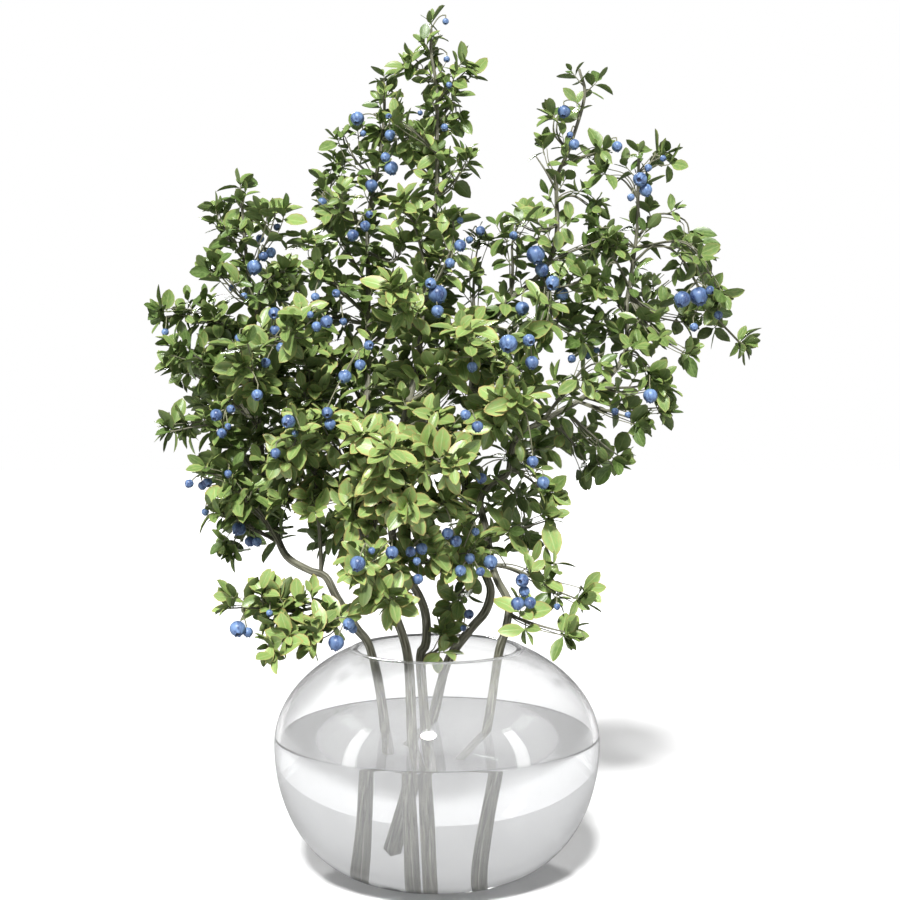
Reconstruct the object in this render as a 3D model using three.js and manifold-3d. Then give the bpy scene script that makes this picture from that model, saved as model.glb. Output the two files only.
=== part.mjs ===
// Blueberry branches standing in a round glass bowl vase with water.
// Millimetres, +Z up. The origin is the centre of the vase's foot, on the ground; -Y is the front.
import * as THREE from "three";
import { ConvexGeometry } from "three/addons/geometries/ConvexGeometry.js";
import { mergeVertices } from "three/addons/utils/BufferGeometryUtils.js";
import Module from "manifold-3d";

const wasm = await Module();
wasm.setup();

// The clear gap left wherever two pieces touch.
const GAP = 0.4;

// The vase: a bowl with a small foot, a wide belly and a cut rim.
const VASE_HEIGHT = 210;
const VASE_RADIUS = 150;
const BELLY_Z = 124;
const MOUTH_RADIUS = 77;
const RIM_WIDTH = 7;
const FOOT_RADIUS = 50;
const WALL = 5;
const FLOOR_Z = 9;
const BOWL_POWER = 2.1; // 2 is an ellipse; more is a fuller curve under the belly
const WATER_Z = 130;
const VASE_SEGMENTS = 36;
const LOWER_STEPS = 6;
const UPPER_STEPS = 5;

// Wood: every stem tapers evenly from its cut foot to its tip.
const TIP_RADIUS = 1.2;
const STEM_SIDES = 6;
const STEM_STEP = 36;
const ARM_SIDES = 4;
const ARM_STEP = 60;
const BARE_SHARE = 0.45; // how much of an arm is bare before its leaves begin
const TUNNEL_SIDES = 4;
const TUNNEL_MARGIN = 2;
const ARM_RADIUS = 2;

// Leaf masses: the leaves reach this far from the boughs and from the stem that a mass wraps.
const BOUGH_REACH = 30;
const CORE_REACH = 34;
const MASS_GAP = 1;

// Berries.
const BERRY_STALK_RADIUS = 0.8;
const BERRY_STALK_SIDES = 4;
const POCKET_MARGIN = 1;
const POCKET_REACH = 150;

const GLASS = { color: 0xd5d7d9, roughness: 0.02, metalness: 0 };
const WATER = { color: 0xc3c5c7, roughness: 0.02, metalness: 0 };
const BARK = { color: 0x6b6a55, roughness: 0.85, metalness: 0 };
const LEAF = { color: 0x7f9a3f, roughness: 0.55, metalness: 0 };
const BERRY = { color: 0x5f7fb8, roughness: 0.6, metalness: 0 };

// A bough leaves its stem at a fraction `at` of the stem's length and runs through `points`.
// An arm is a bough whose bare wood shows, so it is part of the stem's solid.
const bough = (at, ...points) => ({ at, points, arm: false });
const arm = (at, ...points) => ({ at, points, arm: true });
// A spray is a mass of leaves: the boughs it covers and the length of stem that it wraps.
const spray = (core, ...boughs) => ({ core, boughs });

const BRANCHES = [
  {
    name: "left_branch",
    radius: 4,
    stem: [
      [-47, 40, 17], [-49, 10, 130], [-61, 2, 205], [-74, -12, 230], [-90, -30, 260], [-100, -35, 280],
      [-115, -30, 285], [-135, -20, 295], [-145, -10, 310], [-155, 0, 335], [-160, 10, 365],
      [-165, 20, 410], [-170, 25, 460], [-170, 25, 510], [-175, 15, 560], [-180, 10, 630],
    ],
    sprays: {
      low: spray(
        null,
        arm(0.39, [-110, -60, 255], [-135, -80, 255], [-160, -90, 260], [-180, -95, 260]),
        arm(0.36, [-95, -75, 235], [-120, -100, 230], [-145, -110, 220]),
      ),
      inner: spray(null, arm(0.43, [-105, -30, 310], [-110, -25, 375], [-115, -15, 415], [-120, 10, 495])),
      lower: spray(
        [0.52, 0.58],
        arm(0.5, [-155, -30, 330], [-170, -45, 350], [-185, -55, 370], [-205, -60, 375]),
        bough(0.57, [-180, 20, 325], [-195, 30, 300], [-190, 30, 275]),
      ),
      side: spray(
        [0.59, 0.66],
        bough(0.59, [-180, -10, 390], [-200, -30, 415], [-240, -40, 410]),
        bough(0.66, [-200, 90, 415], [-235, 140, 435]),
      ),
      middle: spray(
        [0.61, 0.72],
        bough(0.67, [-190, 10, 450], [-215, 0, 475], [-240, -10, 485]),
        bough(0.71, [-165, -60, 460], [-170, -90, 490]),
        bough(0.61, [-130, -70, 390], [-115, -110, 415]),
      ),
      upper: spray(
        [0.73, 0.83],
        bough(0.73, [-200, 40, 502], [-235, 50, 517], [-262, 45, 514]),
        bough(0.82, [-160, 70, 535], [-145, 110, 550]),
        bough(0.8, [-135, -60, 495], [-110, -80, 515]),
      ),
      top: spray(
        [0.86, 1],
        bough(0.89, [-155, -10, 580], [-145, -20, 605]),
        bough(0.9, [-195, 30, 590], [-205, 40, 615]),
      ),
    },
    // Each cluster is the berries' distance front to back, then x, z and diameter of each berry.
    berries: {
      low: [-100, [-170, 244, 14], [-162, 240, 9]],
      side: [-60, [-193, 426, 11], [-181, 431, 8], [-183, 416, 6], [-189, 410, 9]],
      middle: [-30, [-145, 516, 11], [-145, 501, 10]],
      top: [0, [-158, 569, 9], [-152, 573, 10], [-166, 559, 14]],
    },
  },
  {
    name: "inner_left_branch",
    radius: 4,
    stem: [
      [-16, -18, 12], [-22, -40, 130], [-25, -50, 205], [-35, -60, 245], [-45, -65, 265],
      [-60, -60, 285], [-65, -45, 310], [-70, -25, 345], [-70, 0, 390], [-65, 20, 440],
      [-65, 35, 495], [-65, 45, 550], [-65, 45, 605], [-55, 45, 660], [-50, 50, 705], [-50, 50, 735],
    ],
    sprays: {
      front: spray(
        null,
        arm(0.38, [-50, -100, 290], [-55, -135, 300], [-60, -155, 295]),
        arm(0.34, [-35, -110, 260], [-40, -140, 265]),
      ),
      low: spray(
        [0.42, 0.5],
        bough(0.41, [-50, -100, 345], [-45, -145, 385], [-40, -165, 410]),
        bough(0.45, [-90, -50, 350], [-115, -60, 345], [-135, -60, 350]),
        bough(0.47, [-85, 30, 310], [-115, 80, 295]),
        bough(0.5, [-90, -60, 400], [-100, -80, 420]),
      ),
      middle: spray(
        [0.55, 0.6],
        bough(0.57, [-50, 110, 435], [-70, 170, 465]),
        bough(0.59, [-85, 40, 460], [-110, 40, 490]),
      ),
      upper: spray(
        [0.65, 0.72],
        bough(0.67, [-45, 120, 515], [-45, 160, 555]),
        bough(0.71, [-90, 10, 540], [-110, 0, 565], [-110, -5, 580]),
      ),
      high: spray(
        [0.75, 0.83],
        bough(0.75, [-90, 80, 585], [-105, 90, 630], [-95, 90, 670]),
        bough(0.82, [-85, 20, 610], [-105, 10, 625]),
      ),
      top: spray(
        [0.87, 1],
        bough(0.88, [-75, 40, 660], [-85, 40, 680]),
        bough(0.93, [-35, 20, 685], [-25, 10, 675]),
      ),
    },
    berries: {
      side: [-95, [-93, 429, 10], [-91, 419, 10]],
      middle: [-60, [-80, 460, 12], [-67, 470, 10], [-59, 487, 9]],
      top: [10, [-62, 608, 7], [-66, 598, 10], [-77, 589, 11]],
    },
  },
  {
    name: "middle_branch",
    radius: 3.3,
    stem: [
      [-4, -38, 12], [-10, -22, 130], [-15, -10, 200], [-10, -10, 215], [-10, -15, 240],
      [-15, -30, 260], [-25, -45, 280], [-35, -50, 300], [-40, -50, 330], [-35, -55, 375],
      [-30, -60, 415], [-20, -50, 455], [-15, -30, 490], [-10, -15, 540], [-5, 0, 585],
      [0, 5, 630], [0, 0, 675], [0, 0, 720], [-5, 0, 755], [-5, 0, 780],
    ],
    sprays: {
      rim: spray(null, arm(0.24, [0, -12, 209], [7, -15, 221], [17, -18, 231])),
      low: spray(
        [0.4, 0.45],
        bough(0.38, [-20, -80, 300], [-10, -100, 315]),
        bough(0.41, [-30, -130, 355], [-25, -150, 350]),
        bough(0.44, [-15, -80, 340], [5, -90, 350]),
      ),
      front: spray(
        [0.47, 0.52],
        arm(0.48, [-15, -120, 395], [5, -160, 390], [15, -170, 385]),
        bough(0.47, [-50, -130, 395], [-60, -150, 410]),
      ),
      middle: spray(
        [0.53, 0.58],
        arm(0.53, [-10, -80, 420], [5, -100, 410], [15, -110, 395]),
        bough(0.58, [0, -40, 475], [15, -30, 490], [30, -30, 510]),
      ),
      upper: spray(
        [0.62, 0.68],
        bough(0.63, [-5, 60, 515], [0, 110, 545]),
        bough(0.65, [-25, -80, 515], [-30, -110, 535]),
        bough(0.68, [5, -20, 555], [15, -20, 580], [15, -20, 600]),
      ),
      high: spray(
        [0.71, 0.8],
        bough(0.72, [-20, -20, 595], [-30, -30, 615]),
        bough(0.81, [15, -10, 635], [35, -15, 655]),
      ),
      crown: spray(
        [0.83, 0.9],
        bough(0.83, [-15, 60, 660], [-5, 70, 695]),
        bough(0.86, [-20, -10, 680], [-35, -20, 690]),
        bough(0.89, [15, 10, 710], [25, 10, 695]),
      ),
      top: spray(
        [0.93, 1],
        bough(0.92, [15, 0, 725], [25, 0, 735]),
        bough(0.94, [-15, 20, 735], [-25, 20, 740]),
      ),
    },
    berries: {
      low: [-125, [-21, 313, 9], [-12, 315, 10], [-16, 305, 7]],
      middle: [-120, [10, 328, 10], [17, 321, 10]],
      top: [-60, [-5, 541, 10], [1, 532, 17], [1, 517, 11]],
    },
  },
  {
    name: "inner_right_branch",
    radius: 4,
    stem: [
      [-28, 44, 42], [-5, 42, 130], [10, 30, 190], [30, 30, 220], [45, 20, 240], [50, 15, 260],
      [45, 15, 275], [35, 25, 300], [30, 40, 330], [25, 55, 375], [30, 60, 425], [35, 50, 465],
      [45, 35, 495], [60, 25, 525], [80, 20, 540], [100, 10, 560], [110, 10, 590], [110, 10, 640],
      [120, 10, 665], [135, 10, 715], [130, 10, 740],
    ],
    sprays: {
      low: spray(
        [0.34, 0.4],
        bough(0.34, [25, -10, 265], [15, -20, 255]),
        bough(0.38, [25, -60, 300], [10, -90, 300]),
      ),
      lower: spray(
        [0.46, 0.53],
        bough(0.47, [10, 110, 375], [0, 150, 415]),
        bough(0.52, [50, -60, 420], [65, -120, 435], [75, -130, 430]),
      ),
      middle: spray(
        [0.55, 0.61],
        bough(0.56, [50, 60, 460], [75, 60, 485]),
        bough(0.58, [50, 130, 485], [85, 170, 515]),
        bough(0.6, [25, -60, 485], [30, -100, 500]),
      ),
      inner: spray([0.64, 0.66], arm(0.64, [35, 40, 520], [35, 45, 560], [40, 45, 590])),
      upper: spray([0.69, 0.71], arm(0.7, [70, 20, 560], [70, 20, 585], [80, 15, 610])),
      outer: spray(
        [0.73, 0.77],
        arm(0.73, [105, 30, 530], [130, 40, 520], [150, 40, 510]),
        bough(0.75, [100, -20, 530], [85, -50, 490]),
        bough(0.76, [115, 0, 570], [140, -5, 580], [155, -5, 585]),
      ),
      high: spray(
        [0.81, 0.86],
        bough(0.81, [90, -20, 590], [75, -25, 595]),
        bough(0.85, [100, 0, 645], [90, 0, 660]),
        bough(0.84, [125, 10, 625], [140, 10, 615]),
      ),
      top: spray(
        [0.89, 1],
        bough(0.88, [130, 15, 660], [150, 15, 665]),
        bough(0.9, [110, 5, 680], [110, 5, 695]),
      ),
    },
    berries: {
      side: [-80, [80, 491, 11], [83, 472, 12]],
      top: [-20, [89, 569, 17], [95, 556, 13]],
    },
  },
  {
    name: "right_branch",
    radius: 3.8,
    stem: [
      [22, 26, 12], [46, 2, 130], [56, -20, 205], [62, -30, 230], [65, -30, 255], [55, -25, 275],
      [50, -10, 290], [45, 0, 320], [40, 10, 345], [50, 10, 360], [65, 5, 370], [68, 0, 388],
      [75, 0, 405], [100, 5, 420], [135, 10, 440], [160, 15, 460], [175, 15, 485], [175, 15, 525],
      [180, 20, 555], [185, 20, 595], [185, 15, 625], [185, 10, 660],
    ],
    sprays: {
      rim: spray(null, arm(0.33, [75, -60, 245], [95, -70, 240], [115, -70, 235])),
      low: spray(
        [0.4, 0.45],
        arm(0.4, [75, -40, 285], [105, -50, 270], [130, -50, 260]),
        bough(0.44, [70, -20, 320], [100, -30, 330]),
      ),
      lower: spray(
        [0.51, 0.56],
        bough(0.52, [80, 80, 340], [90, 110, 295]),
        bough(0.54, [85, 20, 365], [100, 20, 350]),
        bough(0.55, [90, 90, 385], [120, 140, 395]),
      ),
      middle: spray(
        [0.61, 0.66],
        bough(0.62, [120, -50, 455], [135, -70, 470], [145, -75, 470]),
        bough(0.63, [130, 50, 395], [145, 60, 370]),
        bough(0.65, [150, 20, 400], [170, 20, 385]),
      ),
      outer: spray(
        [0.69, 0.74],
        bough(0.68, [180, 30, 430], [210, 40, 430]),
        bough(0.7, [175, -30, 450], [200, -40, 455]),
        bough(0.76, [180, -30, 480], [190, -40, 460]),
      ),
      upper: spray(
        [0.77, 0.83],
        bough(0.77, [205, 90, 535], [230, 130, 555]),
        bough(0.79, [155, 60, 500], [140, 70, 485]),
        bough(0.83, [195, -20, 500], [215, -30, 485], [225, -30, 480]),
      ),
      far: spray(
        null,
        arm(0.87, [200, 10, 580], [220, 5, 572], [235, 0, 548], [250, 5, 520], [270, 12, 500], [285, 15, 485]),
        bough(0.89, [225, -10, 580], [250, -20, 545], [255, -20, 530]),
      ),
      high: spray(
        [0.87, 0.91],
        bough(0.89, [165, 0, 585], [150, 0, 585]),
        bough(0.9, [205, 30, 610], [230, 30, 605], [235, 30, 590]),
      ),
      top: spray(
        [0.94, 1],
        bough(0.95, [170, 10, 640], [155, 10, 640]),
        bough(0.98, [195, 10, 655], [205, 10, 660]),
      ),
    },
    berries: {
      low: [-75, [75, 282, 12], [77, 272, 10], [71, 262, 12], [82, 262, 11]],
      far: [-25, [220, 529, 15], [236, 532, 17], [245, 537, 8]],
      top: [-5, [184, 638, 13], [190, 629, 12], [176, 622, 7]],
    },
  },
];

function solidOf(geometry) {
  const bare = geometry.clone();
  bare.deleteAttribute("normal");
  bare.deleteAttribute("uv");
  const merged = mergeVertices(bare, 1e-3);
  const solid = new wasm.Manifold(
    new wasm.Mesh({
      numProp: 3,
      vertProperties: merged.attributes.position.array,
      triVerts: new Uint32Array(merged.index.array),
    }),
  );
  return solid;
}

function geometryOf(solid) {
  const { vertProperties, triVerts } = solid.getMesh();
  const geometry = new THREE.BufferGeometry();
  geometry.setAttribute("position", new THREE.BufferAttribute(vertProperties, 3));
  geometry.setIndex(new THREE.BufferAttribute(triVerts, 1));
  return geometry;
}

const joined = (solids) => solids.reduce((whole, solid) => whole.add(solid));
const largestBody = (solid) =>
  solid.decompose().reduce((best, body) => (body.volume() > best.volume() ? body : best));

// Half of the bowl's outline from a flat floor up to the belly, as [radius, height] pairs.
function lowerOutline(floorRadius, radius, floorZ) {
  const points = [];
  for (let i = 0; i <= LOWER_STEPS; i += 1) {
    const angle = (Math.PI / 2) * (1 - i / LOWER_STEPS);
    const out = Math.abs(Math.cos(angle)) ** (2 / BOWL_POWER);
    const down = Math.sin(angle) ** (2 / BOWL_POWER);
    points.push([floorRadius + (radius - floorRadius) * out, BELLY_Z - (BELLY_Z - floorZ) * down]);
  }
  return points;
}

// Radius of the bowl's upper curve, an arc of an ellipse from the belly up to the mouth.
function upperRadius(radius, mouth, z) {
  const mouthShare = Math.sqrt(1 - (mouth / radius) ** 2);
  const semiHeight = (VASE_HEIGHT - BELLY_Z) / mouthShare;
  return radius * Math.sqrt(1 - ((z - BELLY_Z) / semiHeight) ** 2);
}

function upperOutline(radius, mouth, topZ) {
  const points = [];
  for (let i = 1; i <= UPPER_STEPS; i += 1) {
    const z = BELLY_Z + (topZ - BELLY_Z) * Math.sin((Math.PI / 2) * (i / UPPER_STEPS));
    points.push([upperRadius(radius, mouth, z), z]);
  }
  return points;
}

// Turns an outline of [radius, height] pairs, listed up the outside, about the Z axis.
function turned(outline) {
  const profile = outline.map(([r, z]) => new THREE.Vector2(r, z));
  return solidOf(new THREE.LatheGeometry(profile, VASE_SEGMENTS).rotateX(Math.PI / 2));
}

function vaseSolid() {
  const inside = VASE_RADIUS - WALL;
  const outer = [
    ...lowerOutline(FOOT_RADIUS, VASE_RADIUS, 0),
    ...upperOutline(VASE_RADIUS, MOUTH_RADIUS, VASE_HEIGHT),
  ];
  const inner = [
    ...lowerOutline(FOOT_RADIUS - WALL, inside, FLOOR_Z),
    [upperRadius(inside, MOUTH_RADIUS - RIM_WIDTH, WATER_Z), WATER_Z],
    ...upperOutline(inside, MOUTH_RADIUS - RIM_WIDTH, VASE_HEIGHT),
  ];
  return turned([[0, 0], ...outer, ...inner.reverse(), [0, FLOOR_Z]]);
}

function waterSolid(stems) {
  const inside = VASE_RADIUS - WALL - GAP;
  const bowl = lowerOutline(FOOT_RADIUS - WALL - GAP, inside, FLOOR_Z + GAP);
  const surfaceRadius = upperRadius(VASE_RADIUS - WALL, MOUTH_RADIUS - RIM_WIDTH, WATER_Z) - GAP;
  const whole = turned([[0, FLOOR_Z + GAP], ...bowl, [surfaceRadius, WATER_Z], [0, WATER_Z]]);
  return largestBody(whole.subtract(joined(stems)));
}

const curveThrough = (points) =>
  new THREE.CatmullRomCurve3(points.map((p) => new THREE.Vector3(...p)), false, "centripetal");

// A round tube along a curve, whose radius goes evenly from one end's to the other's.
function taperedTube(curve, startRadius, endRadius, sides, stepLength) {
  const section = new THREE.Shape();
  section.absarc(0, 0, 1, 0, 2 * Math.PI);
  const steps = Math.max(2, Math.round(curve.getLength() / stepLength));
  const settings = { steps, curveSegments: sides, extrudePath: curve, bevelEnabled: false };
  const geometry = new THREE.ExtrudeGeometry(section, settings);
  const centres = curve.getSpacedPoints(steps);
  const position = geometry.getAttribute("position");
  const corner = new THREE.Vector3();
  for (let i = 0; i < position.count; i += 1) {
    corner.fromBufferAttribute(position, i);
    const distances = centres.map((c) => c.distanceTo(corner));
    const nearest = distances.indexOf(Math.min(...distances));
    const radius = startRadius + (endRadius - startRadius) * (nearest / steps);
    corner.sub(centres[nearest]).multiplyScalar(radius).add(centres[nearest]);
    position.setXYZ(i, corner.x, corner.y, corner.z);
  }
  return solidOf(geometry);
}

function boughCurve(stem, { at, points }) {
  return curveThrough([stem.getPointAt(at).toArray(), ...points]);
}

// A branch's wood: the stem and those of its boughs that are arms, thickened by `grow`.
function woodSolid(branch, grow, stemSides) {
  const stem = curveThrough(branch.stem);
  const wood = [taperedTube(stem, branch.radius + grow, TIP_RADIUS + grow, stemSides, STEM_STEP)];
  for (const { boughs } of Object.values(branch.sprays)) {
    for (const one of boughs.filter((b) => b.arm)) {
      const start = Math.min(ARM_RADIUS, branch.radius * (1 - one.at)) + grow;
      const whole = boughCurve(stem, one);
      const bare = new THREE.CatmullRomCurve3([0, BARE_SHARE / 2, BARE_SHARE].map((u) => whole.getPointAt(u)));
      wood.push(taperedTube(bare, start, TIP_RADIUS + grow, ARM_SIDES, ARM_STEP));
    }
  }
  return joined(wood);
}

// The corners of an octahedron about each of some places along a curve.
function cornersAbout(curve, shares, reach) {
  return shares.flatMap((share) => {
    const place = curve.getPointAt(share);
    return [0, 1, 2].flatMap((axis) =>
      [-reach, reach].map((step) => {
        const corner = place.clone();
        return corner.setComponent(axis, corner.getComponent(axis) + step);
      }),
    );
  });
}

// A mass of leaves is the hull round its boughs and round the stretch of stem that it wraps.
function leafMass(branch, { core, boughs }, grow) {
  const stem = curveThrough(branch.stem);
  const leafy = core ? [0.5, 1] : [BARE_SHARE, 1];
  const corners = boughs.flatMap((one) => cornersAbout(boughCurve(stem, one), leafy, BOUGH_REACH + grow));
  if (core) {
    corners.push(...cornersAbout(stem, core, CORE_REACH + grow));
  }
  return solidOf(new ConvexGeometry(corners));
}

// A cluster's berries hang on stalks from one point among them.
function berryCluster([y, ...berries]) {
  const places = berries.map(([x, z]) => new THREE.Vector3(x, y, z));
  const heart = places.reduce((sum, p) => sum.add(p), new THREE.Vector3()).divideScalar(places.length);
  heart.z += berries[0][2] / 2;
  const parts = berries.flatMap(([, , diameter], i) => {
    const fruit = new THREE.OctahedronGeometry(diameter / 2, 1);
    fruit.translate(places[i].x, places[i].y, places[i].z);
    const stalk = new THREE.LineCurve3(heart, places[i]);
    const thin = BERRY_STALK_RADIUS;
    const length = heart.distanceTo(places[i]);
    return [solidOf(fruit), taperedTube(stalk, thin, thin, BERRY_STALK_SIDES, length)];
  });
  return joined(parts);
}

function boxOf(solid) {
  const { min, max } = solid.boundingBox();
  return new THREE.Box3(new THREE.Vector3(...min), new THREE.Vector3(...max));
}

// The leaves part in front of a cluster: its box and a margin, run out to the front.
function berryPocket(berries) {
  const box = boxOf(berries).expandByScalar(POCKET_MARGIN);
  box.min.y -= POCKET_REACH;
  const size = box.getSize(new THREE.Vector3());
  const centre = box.getCenter(new THREE.Vector3());
  return solidOf(new THREE.BoxGeometry(...size.toArray()).translate(...centre.toArray()));
}

const bowl = new THREE.Group();

function addNode(name, solid, look) {
  const mesh = new THREE.Mesh(geometryOf(solid), new THREE.MeshStandardMaterial(look));
  mesh.name = name;
  bowl.add(mesh);
}

addNode("vase", vaseSolid(), GLASS);
addNode("water", waterSolid(BRANCHES.map((branch) => woodSolid(branch, GAP, STEM_SIDES))), WATER);

for (const branch of BRANCHES) {
  addNode(branch.name + "_wood", woodSolid(branch, 0, STEM_SIDES), BARK);
}

const pockets = [];
for (const branch of BRANCHES) {
  for (const [place, cluster] of Object.entries(branch.berries)) {
    const berries = berryCluster(cluster);
    addNode(branch.name + "_berries_" + place, berries, BERRY);
    pockets.push(berryPocket(berries));
  }
}

// Each mass of leaves gives way to the wood, to the berries and to the masses made before it.
const tunnels = BRANCHES.map((branch) => woodSolid(branch, TUNNEL_MARGIN, TUNNEL_SIDES));
const taken = [...tunnels, ...pockets];
for (const branch of BRANCHES) {
  for (const [place, leaves] of Object.entries(branch.sprays)) {
    const mass = leafMass(branch, leaves, 0);
    const room = boxOf(mass);
    const near = taken.filter((other) => room.intersectsBox(boxOf(other)));
    const cut = near.length ? mass.subtract(joined(near)) : mass;
    addNode(branch.name + "_leaves_" + place, largestBody(cut), LEAF);
    taken.push(leafMass(branch, leaves, MASS_GAP));
  }
}

export default bowl;
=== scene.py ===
"""Blueberry branches standing in a round glass bowl vase with water.

Metres, +Z up, the origin at the centre of the vase's foot, -Y to the front.
Everything that grows is made the same way: rings of points carried along a path and closed at both ends.
"""
import math

import bpy
import numpy as np
from bpy.props import FloatProperty, FloatVectorProperty, IntProperty, PointerProperty
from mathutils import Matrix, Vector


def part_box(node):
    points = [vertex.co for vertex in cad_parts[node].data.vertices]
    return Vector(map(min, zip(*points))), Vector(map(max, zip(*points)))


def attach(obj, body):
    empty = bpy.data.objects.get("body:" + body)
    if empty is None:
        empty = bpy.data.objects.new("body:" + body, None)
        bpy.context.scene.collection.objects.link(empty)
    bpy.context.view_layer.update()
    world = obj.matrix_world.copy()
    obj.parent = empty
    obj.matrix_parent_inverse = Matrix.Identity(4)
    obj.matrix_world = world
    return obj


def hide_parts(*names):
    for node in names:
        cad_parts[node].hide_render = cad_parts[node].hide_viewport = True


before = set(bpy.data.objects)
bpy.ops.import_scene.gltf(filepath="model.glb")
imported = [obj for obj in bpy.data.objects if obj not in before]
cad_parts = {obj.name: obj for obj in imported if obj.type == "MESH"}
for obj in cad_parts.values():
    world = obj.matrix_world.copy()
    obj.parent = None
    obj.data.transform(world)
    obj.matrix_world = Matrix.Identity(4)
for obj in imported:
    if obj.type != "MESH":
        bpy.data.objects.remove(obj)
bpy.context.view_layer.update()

bl_info = {
    "name": "Blueberry Branches in a Bowl Vase",
    "version": (1, 0, 0),
    "blender": (4, 5, 0),
    "location": "View3D > Sidebar > Blueberry",
    "description": "Grows five berried blueberry branches in a glass bowl vase of water",
    "category": "Object",
}

MM = 0.001
UP = np.array([0.0, 0.0, 1.0])
GOLDEN_ANGLE = math.radians(137.5)
VASE_BOX = np.array(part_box("vase"))
WATER_BOX = np.array(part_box("water"))

# How finely each kind of shape is drawn.
STEM_RINGS, STEM_SIDES = 150, 12
BOUGH_RINGS, BOUGH_SIDES = 20, 7
TWIG_RINGS, TWIG_SIDES = 6, 5
LEAF_SIDES = 8
BERRY_SIDES = 20
LATHE_SIDES = 128
BOWL_ROWS = 34
RIM_ROWS = 9

# Wood. A stem is STEM_GIRTH times its taper, and FOOT_FLARE more at the cut foot, dying off over FLARE_SHARE.
TIP_RADIUS = 1.2 * MM
STEM_TAPER = 1.35
STEM_GIRTH = 1.1
FOOT_FLARE = 0.32
FLARE_SHARE = 0.2
KNOT_SWELL = 0.05
BOUGH_RADIUS = 2.0 * MM
TWIG_RADIUS = 0.75 * MM
STALK_RADIUS = 0.6 * MM

# Twigs: the stretch of a bough and of a strand that bears them, their spacing on a stem and on a strand
# against a bough's, and how they bunch in tufts, open (in degrees), lift, curve and vary.
BOUGH_TWIGS = (0.22, 0.93)
STRAND_TWIGS = (0.45, 0.93)
STEM_SPACING = 0.8
STRAND_SPACING = 1.5
TUFT_PULL = 0.8
TWIG_OPENING = (42, 68)
TWIG_LIFT = 0.22
TWIG_CURVE = 0.18
TWIG_STRAY = 0.12
TWIG_LENGTHS = (0.7, 1.25)
LAST_TWIG = 0.5

# From CROWN_TOP upwards, twigs go missing over BARING_RISE, and leaves get smaller over SHRINKING_RISE.
CROWN_TOP = 0.50
BARING_RISE = 0.16
SHRINKING_RISE = 0.20

# Leaves: half widths at places along the blade, then how they tilt (in degrees), vary and bend.
LEAF_ALONG = np.array([0.10, 0.28, 0.50, 0.72, 0.90])
LEAF_HALF = np.array([0.20, 0.78, 1.0, 0.88, 0.48])
LEAF_TILTS = (86, 34)
LEAF_SIZES = (0.64, 1.20)
LEAF_CUPS = (0.10, 0.50)
LEAF_ARCHES = (-0.10, 0.34)
LEAF_TWIST = 0.35
LEAF_WAVE = 0.06
LEAF_THICKNESS = 0.22 * MM
CLEAR_OF_BERRY = 2.5 * MM

# Freshness and painted light: the x and z where leaves are freshest and painted brightest, how fast they
# get older and painted darker, as painted shade, aside, backwards and upwards, and how much is luck.
FRESHEST_LIT_X, FRESHEST_LIT_Z = -0.03, 0.44
FRESH_LIT_ASIDE, FRESH_LIT_DEPTH, FRESH_LIT_RISE = 0.14, 0.11, 0.45
FRESH_LIT_LUCK = 0.9

# Berries: the angles from the stalk where rings stand, closest at the crown; how tall, dipped and sunk they
# are as shares of the radius; and which way their crowns droop.
BERRY_ANGLES = np.radians([10, 24, 42, 60, 78, 96, 114, 130, 143, 151, 156, 160, 164, 168, 173])
BERRY_TALL = 0.94
STALK_DIP = 0.06
CROWN_DEPTH = 0.22
CROWN_RIM = math.radians(156)
CROWN_FLOOR = math.radians(162)
BERRY_DROOP = np.array([0, -0.10, -0.45])

# Maps. The bark map has a band from low to high for stems, boughs, strands, twigs and stalks. The leaf map
# has TILES tiles each way, and the berry map has that many side by side.
BARK_BANDS = ((0.0, 0.66), (0.68, 0.76), (0.78, 0.85), (0.87, 0.92), (0.94, 0.99))
TILES = 4

# The stage.
FLOOR_HALF = 6.0
FLOOR_DROP = 0.5 * MM
FLOOR_BEHIND_GLASS = 0.95
PANEL_HEIGHT = 1.5
PANEL_PLACE = (1.5, -0.9, 0.75)
PANEL_TURN = math.radians(59)
SENSOR_WIDTH = 36

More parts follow.
